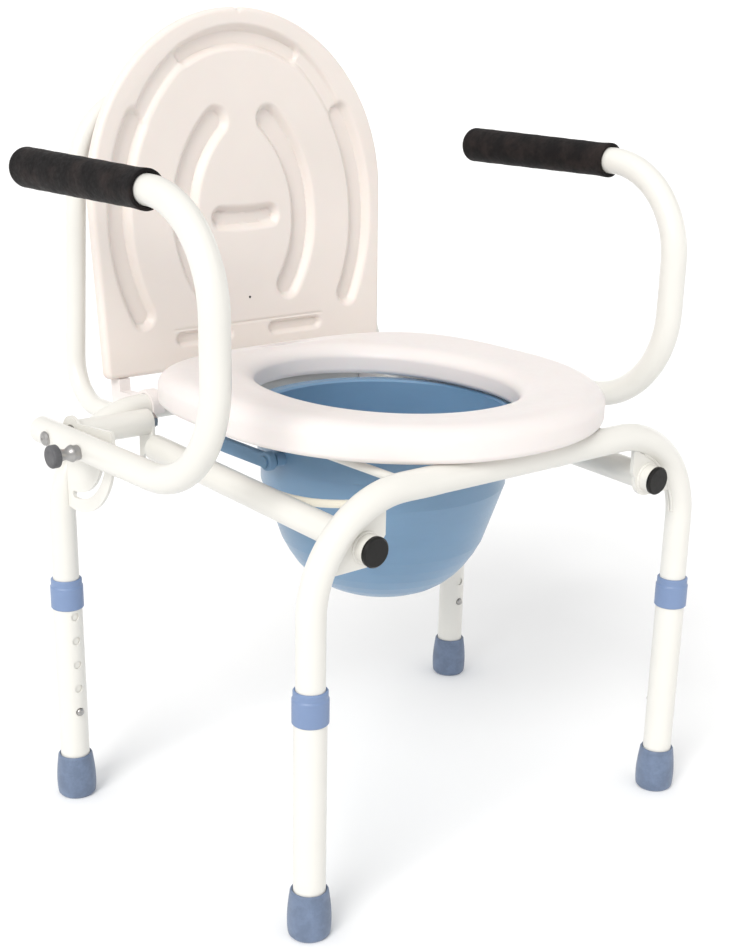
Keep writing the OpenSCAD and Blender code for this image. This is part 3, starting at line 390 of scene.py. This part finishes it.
class Finish:
    """A material under construction: a Principled shader with patterns in the piece's own metres."""

    def __init__(self, name, **sockets):
        self.material = bpy.data.materials.new(name)
        self.material.use_nodes = True
        self.tree = self.material.node_tree
        self.tree.nodes.clear()
        self.out = self.tree.nodes.new("ShaderNodeOutputMaterial")
        self.shader = self.tree.nodes.new("ShaderNodeBsdfPrincipled")
        self.tree.links.new(self.shader.outputs[0], self.out.inputs[0])
        self.place = self.tree.nodes.new("ShaderNodeTexCoord").outputs["Object"]
        self.height = None
        for key, value in sockets.items():
            self.shader.inputs[key.replace("_", " ")].default_value = value

    def noise(self, scale, detail=2.0, rough=0.5, stretch=None, warp=0.0):
        """Noise of that many waves a metre, drawn out along an axis by stretch."""
        node = self.tree.nodes.new("ShaderNodeTexNoise")
        node.inputs["Scale"].default_value = scale
        node.inputs["Detail"].default_value = detail
        node.inputs["Roughness"].default_value = rough
        node.inputs["Distortion"].default_value = warp
        place = self.place
        if stretch:
            turn = self.tree.nodes.new("ShaderNodeMapping")
            turn.inputs["Scale"].default_value = stretch
            self.tree.links.new(place, turn.inputs["Vector"])
            place = turn.outputs[0]
        self.tree.links.new(place, node.inputs["Vector"])
        return node.outputs[0]

    def cells(self, scale):
        """Cells of that many a metre, as the distance from each cell's middle."""
        node = self.tree.nodes.new("ShaderNodeTexVoronoi")
        node.inputs["Scale"].default_value = scale
        self.tree.links.new(self.place, node.inputs["Vector"])
        return node.outputs["Distance"]

    def fit(self, value, low, high, to_low, to_high):
        """The value carried from one range to another, held at its ends."""
        node = self.tree.nodes.new("ShaderNodeMapRange")
        set_range(node, low, high, to_low, to_high)
        self.tree.links.new(value, node.inputs["Value"])
        return node.outputs[0]

    def tint(self, rgb, other, share):
        """Base colour between two colours by a share from 0 to 1."""
        node = self.tree.nodes.new("ShaderNodeMix")
        node.data_type = "RGBA"
        node.inputs[6].default_value = (*rgb, 1)
        node.inputs[7].default_value = (*other, 1)
        self.tree.links.new(share, node.inputs[0])
        self.tree.links.new(node.outputs[2], self.shader.inputs["Base Color"])

    def roughness(self, value):
        """Roughness by a pattern, which stays over 0.29, so that the denoiser treats the piece as one."""
        self.tree.links.new(value, self.shader.inputs["Roughness"])

    def peel(self, value, depth):
        """Orange peel of that depth in the clear outer skin only; the colour under it stays smooth."""
        node = self.tree.nodes.new("ShaderNodeBump")
        node.inputs["Distance"].default_value = depth
        self.tree.links.new(value, node.inputs["Height"])
        self.tree.links.new(node.outputs[0], self.shader.inputs["Coat Normal"])

    def relief(self, value, depth):
        """Bump of that depth in metres, on top of any relief so far."""
        node = self.tree.nodes.new("ShaderNodeBump")
        node.inputs["Strength"].default_value = 1.0
        node.inputs["Distance"].default_value = depth
        self.tree.links.new(value, node.inputs["Height"])
        if self.height is not None:
            self.tree.links.new(self.height, node.inputs["Normal"])
        self.height = node.outputs[0]
        self.tree.links.new(self.height, self.shader.inputs["Normal"])


def shade(rgb, factor):
    """The colour times a factor, held at 1."""
    return tuple(min(1.0, c * factor) for c in rgb)


def powder_coat(name, rgb, gloss):
    """Baked powder: faint orange peel in its clear skin, and a little cloudiness in colour and gloss."""
    f = Finish(name, Coat_Weight=0.3, Coat_Roughness=0.15)
    f.tint(shade(rgb, 0.98), rgb, f.fit(f.noise(18, 2, 0.4), 0.25, 0.75, 0, 1))
    f.roughness(f.fit(f.noise(30, 2, 0.4), 0.2, 0.8, gloss - 0.03, gloss + 0.04))
    f.peel(f.noise(260, 2, 0.4), 0.006 * MM)
    return f.material


def moulded(name, rgb, other, gloss, grain, deep, scatter=0.0):
    """Moulded plastic: soft flow clouds in the colour, a fine eroded grain, and scuffs in the gloss."""
    f = Finish(name, Subsurface_Weight=scatter, Subsurface_Scale=0.004)
    f.tint(other, rgb, f.fit(f.noise(9, 4, 0.55, warp=0.4), 0.32, 0.68, 0, 1))
    f.roughness(f.fit(f.noise(130, 5, 0.6), 0.3, 0.7, gloss - 0.06, gloss + 0.08))
    f.relief(f.noise(grain, 3, 0.6), deep)
    f.relief(f.noise(38, 2), 2.0 * deep)
    return f.material


def glossy_plastic(name, rgb, other):
    """Glossy plastic of the bucket: faint rings of flow round its axis, faint clouds and fine scuffs."""
    f = Finish(
        name, Subsurface_Weight=0.12, Subsurface_Scale=0.006, Coat_Weight=0.25, Coat_Roughness=0.2
    )
    f.tint(other, rgb, f.fit(f.noise(14, 4, 0.6, stretch=(1, 1, 3)), 0.3, 0.7, 0, 1))
    f.roughness(f.fit(f.noise(240, 4, 0.7, stretch=(1, 1, 6)), 0.3, 0.7, 0.295, 0.42))
    f.relief(f.noise(700, 2), 0.02 * MM)
    f.relief(f.noise(60, 2, stretch=(0.3, 0.3, 5)), 0.012 * MM)
    return f.material


def rubber(name, rgb):
    """Moulded rubber: dusty bloom in the colour, a matt fine grain."""
    f = Finish(name, Sheen_Weight=0.15, Sheen_Roughness=0.5)
    f.tint(rgb, shade(rgb, 1.35), f.fit(f.noise(70, 5, 0.65), 0.42, 0.75, 0, 1))
    f.roughness(f.fit(f.noise(300, 3), 0.3, 0.7, 0.5, 0.68))
    f.relief(f.noise(1600, 3, 0.6), 0.05 * MM)
    return f.material


def foam(name, rgb):
    """Closed-cell foam: small pebbled cells with pores between, brownish where the skin is thin."""
    thin_skin = (0.03, 0.022, 0.02)
    f = Finish(name, Specular_IOR_Level=0.1)
    f.tint(rgb, thin_skin, f.fit(f.noise(45, 4, 0.6), 0.45, 0.8, 0, 1))
    f.roughness(f.fit(f.noise(300, 3), 0.3, 0.7, 0.5, 0.68))
    f.relief(f.fit(f.cells(700), 0.0, 0.6, 1, 0), 0.05 * MM)
    f.relief(f.noise(1800, 2, 0.6), 0.03 * MM)
    return f.material


def satin_plastic(name, rgb):
    """Small black or grey mouldings: faint clouds, a fine even grain."""
    f = Finish(name, Specular_IOR_Level=0.28)
    f.tint(rgb, shade(rgb, 1.5), f.fit(f.noise(90, 4), 0.35, 0.8, 0, 1))
    f.roughness(f.fit(f.noise(260, 4), 0.3, 0.7, 0.32, 0.5))
    f.relief(f.noise(1400, 2), 0.025 * MM)
    return f.material


def plated(name, rgb):
    """Bright zinc plate: fine turning lines, blotches in the gloss."""
    f = Finish(name, Metallic=1.0)
    f.tint(shade(rgb, 0.88), rgb, f.fit(f.noise(160, 4, 0.6), 0.3, 0.7, 0, 1))
    f.roughness(f.fit(f.noise(420, 4, 0.6), 0.3, 0.7, 0.295, 0.37))
    f.relief(f.noise(900, 2, stretch=(6, 1, 1)), 0.004 * MM)
    return f.material


# finish by the record's material slot, filled by make_finishes
FINISHES = {}


def make_finishes(c):
    """Makes the chair's finishes, one for each of the record's slots."""
    FINISHES.update(
        frame_paint=powder_coat("warm_white_powder_coat", c.paint, 0.325),
        rod_paint=powder_coat("cream_powder_coat", c.cream, 0.35),
        seat_plastic=moulded("seat_moulding", c.seat, shade(c.seat, 0.975), 0.42, 1100, 0.03 * MM, 0.08),
        lid_plastic=moulded("lid_moulding", c.lid, shade(c.lid, 0.97), 0.45, 1100, 0.035 * MM, 0.08),
        clip_plastic=moulded("clip_moulding", shade(c.seat, 1.02), c.seat, 0.4, 1300, 0.02 * MM),
        bucket_plastic=glossy_plastic("bucket_moulding", c.bucket, shade(c.bucket, 0.93)),
        bail_plastic=moulded(
            "bail_moulding", shade(c.bucket, 0.9), shade(c.bucket, 1.15), 0.45, 1500, 0.03 * MM
        ),
        collar_plastic=moulded("collar_moulding", c.collar, shade(c.collar, 1.12), 0.42, 1500, 0.02 * MM),
        foot_rubber=rubber("foot_rubber_blue", c.foot),
        grip_foam=foam("grip_foam_black", c.grip),
        plug_plastic=satin_plastic("plug_black", c.plug),
        knob_plastic=satin_plastic("knob_grey", c.knob),
        cap_plastic=moulded("cap_moulding", c.paint, shade(c.paint, 0.96), 0.36, 1300, 0.02 * MM),
        plated_steel=plated("zinc_plate", c.steel),
    )


# ---------- pieces ----------


def chair(context, name):
    """The chair's sizes or colours of that name."""
    return getattr(context.scene, "chair_" + name)


def rail_axis(f):
    """Front end and direction of the side rail's axis."""
    start = np.array([f.rail_x, -f.rail_front, f.rail_z])
    return start, np.array([0, math.cos(f.rail_rise), math.sin(f.rail_rise)])


class CHAIR_OT_finishes(Operator):
    """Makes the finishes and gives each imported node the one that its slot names"""

    bl_idname = "chair.finishes"
    bl_label = "Finishes"

    def execute(self, context):
        make_finishes(chair(context, "colours"))
        slots = {row["node"]: row["material_slot"] for row in frame["record"]["subparts"]}
        for name, node in frame["nodes"].items():
            for socket in node.material_slots:
                socket.material = FINISHES[slots[name]]
        return {"FINISHED"}


class CHAIR_OT_welds(Operator):
    """Adds the weld beads where tubes, plates and rods meet"""

    bl_idname = "chair.welds"
    bl_label = "Weld beads"

    def execute(self, context):
        f, b = chair(context, "frame"), chair(context, "back")
        r, y, top = f.tube / 2, f.leg_y, f.crossbar_z
        start, along = rail_axis(f)
        beads = []
        plate, clear = 2 * MM, 0.3 * MM
        # round each side rail, on both faces of its bracket
        for face in (-plate, plate):
            t = (-y + face - start[1]) / along[1]
            beads.append(weld(hoop(start + t * along, r + clear, along), f.bead))
        # along the inside of each front bend, on both faces of the gusset
        bend = np.array([f.front_x - f.front_bend, 0, top - f.front_bend])
        t = np.radians(np.linspace(24, 84, 90))
        inner = f.front_bend - r
        for face in (-plate, plate):
            arc = bend + np.stack([inner * np.sin(t), 0 * t - y + face * 0.9, inner * np.cos(t)], -1)
            beads.append(weld(arc, f.bead, closed=False))
        # where each end of the back tube meets the rear crossbar
        behind = (saddle_x(b, f), y + 40 * MM, top - b.foot_drop)
        p = saddle(behind, (0, -1, 0), b.tube / 2, (0, y, top), (1, 0, 0), r)
        beads.append(weld(p, f.bead * 0.9))
        both = beads + [mirrored(g) for g in beads]
        piece("frame_weld_beads", both, "chair_frame", FINISHES["frame_paint"])
        return {"FINISHED"}


def saddle_x(b, f):
    """Half width of the back tube at its feet, where its legs, which lean outwards, have come down."""
    drop = b.top_z - b.bend - (f.crossbar_z - b.foot_drop)
    run = drop / math.cos(b.lean) + b.bend * math.tan(b.lean)
    return b.half_x - b.bend + b.bend * math.cos(b.lean) + run * math.sin(b.lean)


def superoval(half_x, front, rear, front_n, rear_n, count):
    """Oval of cosine and sine raised to 2 / n, whose front and rear have their own reach and n."""
    t = (np.arange(count) + 0.5) * TURN / count
    c, s = np.cos(t), np.sin(t)
    n = np.where(s < 0, front_n, rear_n)
    x = half_x * np.sign(c) * np.abs(c) ** (2 / n)
    y = np.where(s < 0, front, rear) * np.sign(s) * np.abs(s) ** (2 / n)
    return np.stack([x, y], -1)


class CHAIR_OT_seat(Operator):
    """Builds the moulded seat: rings from the outer edge over the crown to the hole and back underneath"""

    bl_idname = "chair.seat"
    bl_label = "Seat"

    def execute(self, context):
        s = chair(context, "seat")
        count, low = 360, 6 * MM
        oval, square = 2.1, 3.4
        top = s.bottom + s.thick

        def outer(inset, z):
            ring = superoval(s.half_x - inset, s.front - inset, s.rear - inset, oval, square, count)
            return np.column_stack([ring, np.full(count, z)])

        def inner(inset, z):
            reach = (s.hole_x + inset, s.hole_front + inset, s.hole_rear + inset)
            return np.column_stack([superoval(*reach, oval, oval, count), np.full(count, z)])

        def low_edge(ring, k):
            return ring(low * (1 - math.sin(k)), s.bottom + low * (1 - math.cos(k)))

        wide, hole_wide = 1.3 * s.round, 1.4 * s.hole_round
        fall = s.hole_round - s.dish
        quarter = np.radians(np.linspace(0, 90, 16))
        a = np.radians(np.linspace(0, 90, 9))
        rings = [low_edge(outer, k) for k in a]
        rings += [outer(wide * (1 - math.cos(k)), top - s.round * (1 - math.sin(k))) for k in quarter]
        over, under = rings[-1], inner(hole_wide, top - s.dish)
        for t in np.linspace(0, 1, 20)[1:-1]:
            middle = over * (1 - t) + under * t
            middle[:, 2] = top - s.dish * ease(t)
            rings.append(middle)
        for k in quarter[::-1]:
            rings.append(inner(hole_wide * (1 - math.cos(k)), top - s.dish - fall * (1 - math.sin(k))))
        rings += [low_edge(inner, k) for k in a[::-1]]
        grid = (np.stack(rings), True, True)
        finish = FINISHES["seat_plastic"]
        piece("seat_moulding", [grid], "seat_flap", finish, ["seat"], sharp=60)
        return {"FINISHED"}


def lid_outline(s, inset):
    """Lid's edge, drawn in by inset: half an ellipse on top, straight sides and two rounded corners."""
    t = np.radians(np.linspace(0, 180, 400))
    x = (s.half_x - inset) * np.cos(t)
    y = s.wide + (s.top - s.wide - inset) * np.sin(t)
    a = np.radians(np.linspace(180, 270, 24))
    r = max(s.corner - inset, 1 * MM)
    cx, cy = s.bottom_x - inset - r, s.bottom + inset + r
    left = np.stack([-cx + r * np.cos(a), cy + r * np.sin(a)], -1)
    right = np.stack([cx - r * np.cos(a[::-1]), cy + r * np.sin(a[::-1])], -1)
    return np.concatenate([np.stack([x, y], -1), left, right])


def far_in(x, y, centre, radius, a0, a1, width):
    """How far a point lies inside the lip of a groove along an arc with round ends."""
    dx, dy = x - centre[0], y - centre[1]
    middle = (a0 + a1) / 2
    turn = (np.arctan2(dy, dx) - middle + math.pi) % TURN - math.pi + middle
    on = np.clip(turn, a0, a1)
    return width / 2 - np.hypot(dx - radius * np.cos(on), dy - radius * np.sin(on))


def pressed(inside, deep, wall, crease):
    """Depth of a groove by the distance inside its lip: one less a cosine down the wall, then a flat floor.

    The crease at the foot of the wall is deepest there and dies away across the floor.
    """
    fade = 2.2 * MM
    fall = 1 - np.cos(np.clip(inside / wall, 0, 1) * math.pi / 2)
    return deep * fall + (inside > wall) * crease * np.exp(-(inside - wall) / fade)


# the lid's grooves in millimetres and degrees: centre across, centre up, radius, first angle, last angle
OUTER_GROOVE = (-54.2, 167, 203, -25.7, 28.5)
INNER_GROOVE = (-54.8, 168, 128, -34.8, 47.2)
TOP_GROOVE = (0, 201, 139.8, 61.8, 118.2)
BAR_GROOVE = (0, 456, 290, -96.0, -84.0)
SLOT_GROOVE = (57.5, 51.5 - 4000, 4000, 89.609, 90.391)

# the arcs that bound the channel, in millimetres: centre across, centre up, radius
CHANNEL_RIM = ((-38.7, 166.4, 203.3), (0, 214.4, 140))
CHANNEL_PANEL = ((-57, 167, 190), (0, 187.5, 139.6))


def lid_relief(s, x, y):
    """Depth pressed into the lid's panel: the deepest of its five grooves, its channel and its fold."""
    u = np.abs(x)
    deep = np.zeros_like(x)
    for across, arc, width, depth, wall in (
        (u, OUTER_GROOVE, s.groove, s.groove_deep, s.groove_wall),
        (u, INNER_GROOVE, s.groove + 2.6 * MM, s.groove_deep, s.groove_wall),
        (x, TOP_GROOVE, s.top_groove, s.groove_deep, s.groove_wall * 0.85),
        (x, BAR_GROOVE, s.bar, s.groove_deep, s.groove_wall),
        (u, SLOT_GROOVE, s.slot, s.slot_deep, s.groove_wall * 0.55),
    ):
        cx, cy, radius = (size * MM for size in arc[:3])
        a0, a1 = (math.radians(degrees) for degrees in arc[3:])
        inside = far_in(across, y, (cx, cy), radius, a0, a1, width)
        deep = np.maximum(deep, pressed(inside, depth, wall, s.crease))
    return np.maximum(np.maximum(deep, channel(s, u, y)), fold_line(s, x, y))


def channel(s, u, y):
    """Shallow horseshoe between the rim and the middle panel: each of its edges is two arcs that meet."""
    rim, panel = (
        [radius * MM - np.hypot(u - cx * MM, y - cy * MM) for cx, cy, radius in arcs]
        for arcs in (CHANNEL_RIM, CHANNEL_PANEL)
    )
    outside = np.maximum(-panel[0], -panel[1])
    share = np.minimum(pressed(np.minimum(*rim), 1, 4.5 * MM, 0), pressed(outside, 1, 7 * MM, 0))
    return s.channel * share * upper(y)


def upper(y):
    """Share that rises smoothly from 0 to 1 on the way up the lid."""
    start, run = 120 * MM, 60 * MM
    return ease((y - start) / run)


def fold_line(s, x, y):
    """Fine fold across the lid above its small slots, faded out along both edges and at both ends."""
    deep, half_wide, run, half_long, end_run = 0.9 * MM, 1.7 * MM, 1.3 * MM, 96 * MM, 6 * MM
    return deep * ease((half_wide - np.abs(y - s.fold)) / run) * ease((half_long - np.abs(x)) / end_run)


def from_lid(s, hinge, points):
    """Lid coordinates (across, up the lid, out of its face) set on the hinge axis and leaned back."""
    c, k = math.cos(s.lean), math.sin(s.lean)
    x, up, out = points[..., 0], points[..., 1], points[..., 2]
    return np.stack([x, hinge[0] + k * up - c * out, hinge[1] + c * up + k * out], -1)


class CHAIR_OT_lid(Operator):
    """Builds the lid: rings drawn in from its edge, with the rim's step and the grooves in their height"""

    bl_idname = "chair.lid"
    bl_label = "Lid"

    def execute(self, context):
        s, f = chair(context, "lid"), chair(context, "frame")
        base = lid_outline(s, 0)
        gap = np.linalg.norm(np.diff(base, axis=0, append=base[:1]), axis=1)
        far = np.concatenate([[0], np.cumsum(gap)])
        count = 520
        where = np.arange(count) * far[-1] / count
        notch_half, notch_from, notch_run = 5 * MM, 16 * MM, 12 * MM

        def ring(inset):
            p = lid_outline(s, inset)
            p = np.concatenate([p, p[:1]])
            x, y = np.interp(where, far, p[:, 0]), np.interp(where, far, p[:, 1])
            cut = s.notch * ease(1 - np.abs(x) / notch_half) * ease((y - s.top + notch_from) / notch_run)
            return np.stack([x, y - cut], -1)

        def level(z):
            return np.full(count, z)

        edge, back_edge = 5 * MM, 4 * MM
        back = s.face + s.thick
        middle = np.array([0, 0.5 * (s.top + s.bottom)])
        rings = []
        for share in (0, 0.15, 0.4, 0.7, 0.9):
            rings.append((middle + share * (ring(back_edge) - middle), level(-back)))
        for a in np.radians(np.linspace(0, 90, 9)):
            height = -back + back_edge * (1 - math.cos(a))
            rings.append((ring(back_edge * (1 - math.sin(a))), level(height)))
        for a in np.radians(np.linspace(0, 90, 11)):
            height = -s.face - edge * (1 - math.sin(a))
            rings.append((ring(edge * (1 - math.cos(a))), level(height)))
        for inset in np.linspace(edge, s.rim, 14)[1:]:
            p = ring(inset)
            rings.append((p, -s.face - lid_relief(s, p[:, 0], p[:, 1])))
        panel, core = ring(s.rim), 0.24
        for share in np.concatenate([np.linspace(1, core, 126)[1:], np.linspace(core, 0, 18)[1:]]):
            p = middle + share * (panel - middle)
            step = s.step * ease(np.linalg.norm(p - panel, axis=1) / s.step_run) * upper(p[:, 1])
            rings.append((p, -s.face - step - lid_relief(s, p[:, 0], p[:, 1])))
        points = np.stack([np.column_stack([p, z]) for p, z in rings])
        hinge = (f.leg_y, f.crossbar_z)
        grid = (from_lid(s, hinge, points), False, True)
        finish = FINISHES["lid_plastic"]
        piece("lid_moulding", [grid], "lid_flap", finish, ["lid"], sharp=60)
        # Painted shade: a small black disc, barely sunk into the face, stands for the shade inside a small
        # hole in the lid; it is not a mark in the moulding.
        r, sunk, proud, crown = s.hole_shade / 2, -0.4 * MM, 0.1 * MM, 0.12 * MM
        disc = turned([[0, sunk], [r, sunk], [r, proud], [0, crown]], 24)[0] + [0, s.hole_shade_up, -s.face]
        mark = (from_lid(s, hinge, disc), False, True)
        piece("lid_hole_painted_shade", [mark], "lid_flap", FINISHES["plug_plastic"])
        return {"FINISHED"}


class CHAIR_OT_bail(Operator):
    """Builds the bucket's bail: a rounded strap carried round the bucket, with a boss at each end"""

    bl_idname = "chair.bail"
    bl_label = "Bail"

    def execute(self, context):
        s = chair(context, "bucket")
        tall, thick, out = 14 * MM, 8 * MM, 4 * MM
        reach, straight, drop = 150 * MM, 66 * MM, 30 * MM
        half = s.rim + out
        t = np.linspace(0, 1, 121)
        a = math.pi * t
        y = straight + (reach - straight) * np.sin(a)
        path = np.stack([half * np.cos(a), y, np.zeros_like(a)], -1)
        run = np.linspace(0, 1, 14)[:-1, None]
        first = np.array([half, 0, 0]) * (1 - run) + path[0] * run
        last = first[::-1] * [-1, 1, 1]
        path = np.concatenate([first, path, last])
        along = unit(np.gradient(path, axis=0))
        side = unit(np.cross(along, [0, 0, 1.0]))
        h, w, edge = tall / 2, thick / 2, 2.4 * MM
        corners = [[-w, -h], [w, -h], [w, h], [-w, h]]
        section = rounded(corners, [edge] * 4, closed=True, step=math.radians(15))
        rings = path[:, None] + section[None, :, :1] * side[:, None]
        rings = rings + section[None, :, 1:] * np.array([0, 0, 1.0])
        ends = [np.broadcast_to(p, rings[0].shape)[None] for p in (path[0], path[-1])]
        strap = (np.concatenate([ends[0], rings, ends[1]]), False, True)
        boss, hole = tall / 2 + 1.8 * MM, 4.3 * MM
        boss_edge, hole_edge = 1.6 * MM, 0.4 * MM
        corners = [[hole, -w], [boss, -w], [boss, w], [hole, w]]
        profile = rounded(corners, [hole_edge, boss_edge, boss_edge, hole_edge], True)
        ring = moved(turned(profile, 64, True), (half, 0, 0), ALONG_X)
        place = (0, s.y, s.top - drop)
        grids = [moved(grid, place) for grid in (strap, ring, mirrored(ring))]
        finish = FINISHES["bail_plastic"]
        piece("bail_strap", grids, "bucket_bail", finish, ["bail"], sharp=50)
        return {"FINISHED"}


class CHAIR_OT_grips(Operator):
    """Builds the foam grips: a sleeve whose front mouth flares a little and whose rear end is domed"""

    bl_idname = "chair.grips"
    bl_label = "Foam grips"

    def execute(self, context):
        s, f = chair(context, "arm"), chair(context, "frame")
        r, full, tube = s.grip / 2, s.grip_full / 2, f.tube / 2 + 0.05 * MM
        long = s.grip_front + s.rear_y
        end = long + s.grip_end
        dip, waist = 0.5 * MM, 14 * MM
        neck = r - dip
        corners = [
            [tube, 2 * MM],
            [tube + 1 * MM, 0],
            [r, 0],
            [r, 5 * MM],
            [neck, waist],
            [full, end],
            [0, end],
        ]
        radii = [0, 0.6 * MM, 1.3 * MM, 3 * MM, 4 * MM, 8 * MM, 0]
        outer = rounded(corners, radii, step=math.radians(8))
        # between its two ends the sleeve widens evenly, with slow waves in its radius
        body = np.linspace(20 * MM, end - 10 * MM, 60)
        keep_low = outer[outer[:, 1] < 19 * MM]
        keep_high = outer[outer[:, 1] > end - 9 * MM]
        swell = neck + (full - r + dip) * (body - waist) / (end - waist)
        soft = 0.1 * MM * np.sin(body * 190) + 0.06 * MM * np.sin(body * 473 + 1)
        profile = np.concatenate([keep_low, np.column_stack([swell + soft, body]), keep_high])
        inside = long + 0.2 * MM
        profile = np.concatenate([profile, [[0, inside], [tube, inside]]])
        finish = FINISHES["grip_foam"]
        for side, sign in SIDES.items():
            grid = moved(turned(profile, 96, True), (0, -s.grip_front, s.grip_z), ALONG_Y)
            grid = (grid[0] + [sign * s.x, 0, 0], grid[1], grid[2])
            piece(f"grip_sleeve_{side}", [grid], f"arm_{side}", finish, [f"arm_grip_{side}"])
        return {"FINISHED"}


class CHAIR_OT_knobs(Operator):
    """Builds the pull knobs: a head with rounded edges on a waist whose radius follows a squared cosine"""

    bl_idname = "chair.knobs"
    bl_label = "Pull knobs"

    def execute(self, context):
        s = chair(context, "arm")
        low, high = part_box("pull_knob_left")
        tall, centre = high.x - low.x, (low.x, (low.y + high.y) / 2 + MIDDLE, (low.z + high.z) / 2)
        r, back_edge, face_edge, overlap = s.knob / 2, 1.2 * MM, 2.4 * MM, 0.2 * MM
        corners = [[0, 0], [r, 0], [r, tall], [0, tall]]
        head = turned(rounded(corners, [0, back_edge, face_edge, 0], step=0.15), 64)
        t = np.linspace(0, 1, 31)
        wide = s.waist / 2 + np.where(t < 0.5, s.waist_foot, s.waist_head) * np.cos(math.pi * t) ** 2
        waist = np.column_stack([wide, s.waist_long * (t - 1) + overlap])
        waist = turned(np.concatenate([[[0, waist[0, 1]]], waist, [[0, waist[-1, 1]]]]), 64)
        for side, sign in SIDES.items():
            for name, grid, slot, swaps in (
                ("head", head, "knob_plastic", [f"pull_knob_{side}"]),
                ("waist", waist, "plated_steel", []),
            ):
                grid = moved(grid, centre, ALONG_X)
                grid = grid if sign > 0 else mirrored(grid)
                piece(f"knob_{name}_{side}", [grid], f"lock_pin_{side}", FINISHES[slot], swaps)
        return {"FINISHED"}


class CHAIR_OT_stage(Operator):
    """Adds the pale floor, the soft lights and the camera"""

    bl_idname = "chair.stage"
    bl_label = "Floor, light and camera"

    def execute(self, context):
        scene = context.scene
        scene.view_settings.view_transform = "Standard"
        self.floor(scene)
        self.lights(scene)
        data = bpy.data.cameras.new("camera")
        data.sensor_width, data.lens = 36, 59.003
        data.shift_x, data.shift_y = -0.00969, 0.12248
        camera = bpy.data.objects.new("camera", data)
        scene.collection.objects.link(camera)
        right = Vector((0.7663195, -0.6420781, 0.0221375))
        up = Vector((0.2111442, 0.2842445, 0.9352129))
        ahead = Vector((0.6067722, 0.7119977, -0.3533932))
        turn = Matrix((right, up, -ahead)).transposed().to_4x4()
        camera.matrix_world = Matrix.Translation((-0.9421395, -1.1369248, 0.7617861)) @ turn
        scene.camera = camera
        return {"FINISHED"}

    def floor(self, scene):
        """White sweep: a flat disc that curves up a quarter of a circle all round, far from the chair."""
        pale, dull = (0.96, 0.96, 0.96), (0.945, 0.945, 0.945)
        f = Finish("pale_floor")
        f.tint(pale, dull, f.fit(f.noise(0.7, 2), 0.3, 0.7, 0, 1))
        f.roughness(f.fit(f.noise(6, 2), 0.3, 0.7, 0.8, 0.95))
        reach, curve = 9.0, 4.0
        bend = np.radians(np.linspace(0, 90, 33))
        profile = np.column_stack([reach + curve * np.sin(bend), curve * (1 - np.cos(bend))])
        flat = np.column_stack([np.linspace(0.5, reach - 0.5, 17), np.zeros(17)])
        profile = np.concatenate([[[0.0, 0.0]], flat, profile])
        rings = turned(profile, 128)[0]
        mesh = bpy.data.meshes.new("floor")
        cells = corners_of(rings.shape[0], rings.shape[1], False, True)
        mesh.from_pydata(rings.reshape(-1, 3).tolist(), [], cells[:, ::-1].tolist())
        merge(mesh)
        mesh.shade_smooth()
        mesh.materials.append(f.material)
        made = bpy.data.objects.new("floor", mesh)
        scene.collection.objects.link(made)

    def lights(self, scene):
        """A broad key from the front right of the sitter, and a white sky, brighter on the key's side."""
        darkest, brightest = 0.36, 0.98
        towards = Vector((-0.78, -0.40, 0.62)).normalized()
        light = bpy.data.lights.new("key_light", "SUN")
        light.energy, light.angle, light.color = 1.9, math.radians(28), (1.0, 0.99, 0.97)
        lamp = bpy.data.objects.new("key_light", light)
        scene.collection.objects.link(lamp)
        lamp.location = towards * 4
        lamp.rotation_euler = (-towards).to_track_quat("-Z", "Y").to_euler()
        world = scene.world or bpy.data.worlds.new("studio")
        scene.world = world
        world.use_nodes = True
        tree = world.node_tree
        sky = tree.nodes["Background"]
        place = tree.nodes.new("ShaderNodeTexCoord")
        side = tree.nodes.new("ShaderNodeVectorMath")
        side.operation = "DOT_PRODUCT"
        side.inputs[1].default_value = Vector((-0.6, -0.3, 0.75)).normalized()
        share = tree.nodes.new("ShaderNodeMapRange")
        set_range(share, -0.9, 0.9, darkest, brightest)
        tree.links.new(place.outputs["Generated"], side.inputs[0])
        tree.links.new(side.outputs["Value"], share.inputs["Value"])
        tree.links.new(share.outputs[0], sky.inputs["Strength"])
        sky.inputs["Color"].default_value = (1.0, 1.0, 1.0, 1)


OPERATORS = [
    CHAIR_OT_finishes,
    CHAIR_OT_welds,
    CHAIR_OT_seat,
    CHAIR_OT_lid,
    CHAIR_OT_bail,
    CHAIR_OT_grips,
    CHAIR_OT_knobs,
    CHAIR_OT_stage,
]


class CHAIR_PT_panel(Panel):
    """Lists the chair's sizes and colours, and a button for each group of pieces"""

    bl_idname = "CHAIR_PT_panel"
    bl_label = "Commode chair"
    bl_space_type = "VIEW_3D"
    bl_region_type = "UI"
    bl_category = "Commode chair"

    def draw(self, context):
        for name, group in GROUPS.items():
            box = self.layout.box()
            box.label(text=name.replace("_", " ").capitalize())
            for key in group.__annotations__:
                box.prop(getattr(context.scene, name), key)
        for operator in OPERATORS:
            self.layout.operator(operator.bl_idname)


def register():
    for group in GROUPS.values():
        bpy.utils.register_class(group)
    for made in [*OPERATORS, CHAIR_PT_panel]:
        bpy.utils.register_class(made)
    for name, group in GROUPS.items():
        setattr(bpy.types.Scene, name, PointerProperty(type=group))


def unregister():
    for name in GROUPS:
        delattr(bpy.types.Scene, name)
    for made in reversed([*GROUPS.values(), *OPERATORS, CHAIR_PT_panel]):
        bpy.utils.unregister_class(made)


def main():
    register()
    for operator in OPERATORS:
        group, call = operator.bl_idname.split(".")
        getattr(getattr(bpy.ops, group), call)()


if __name__ == "__main__":
    main()
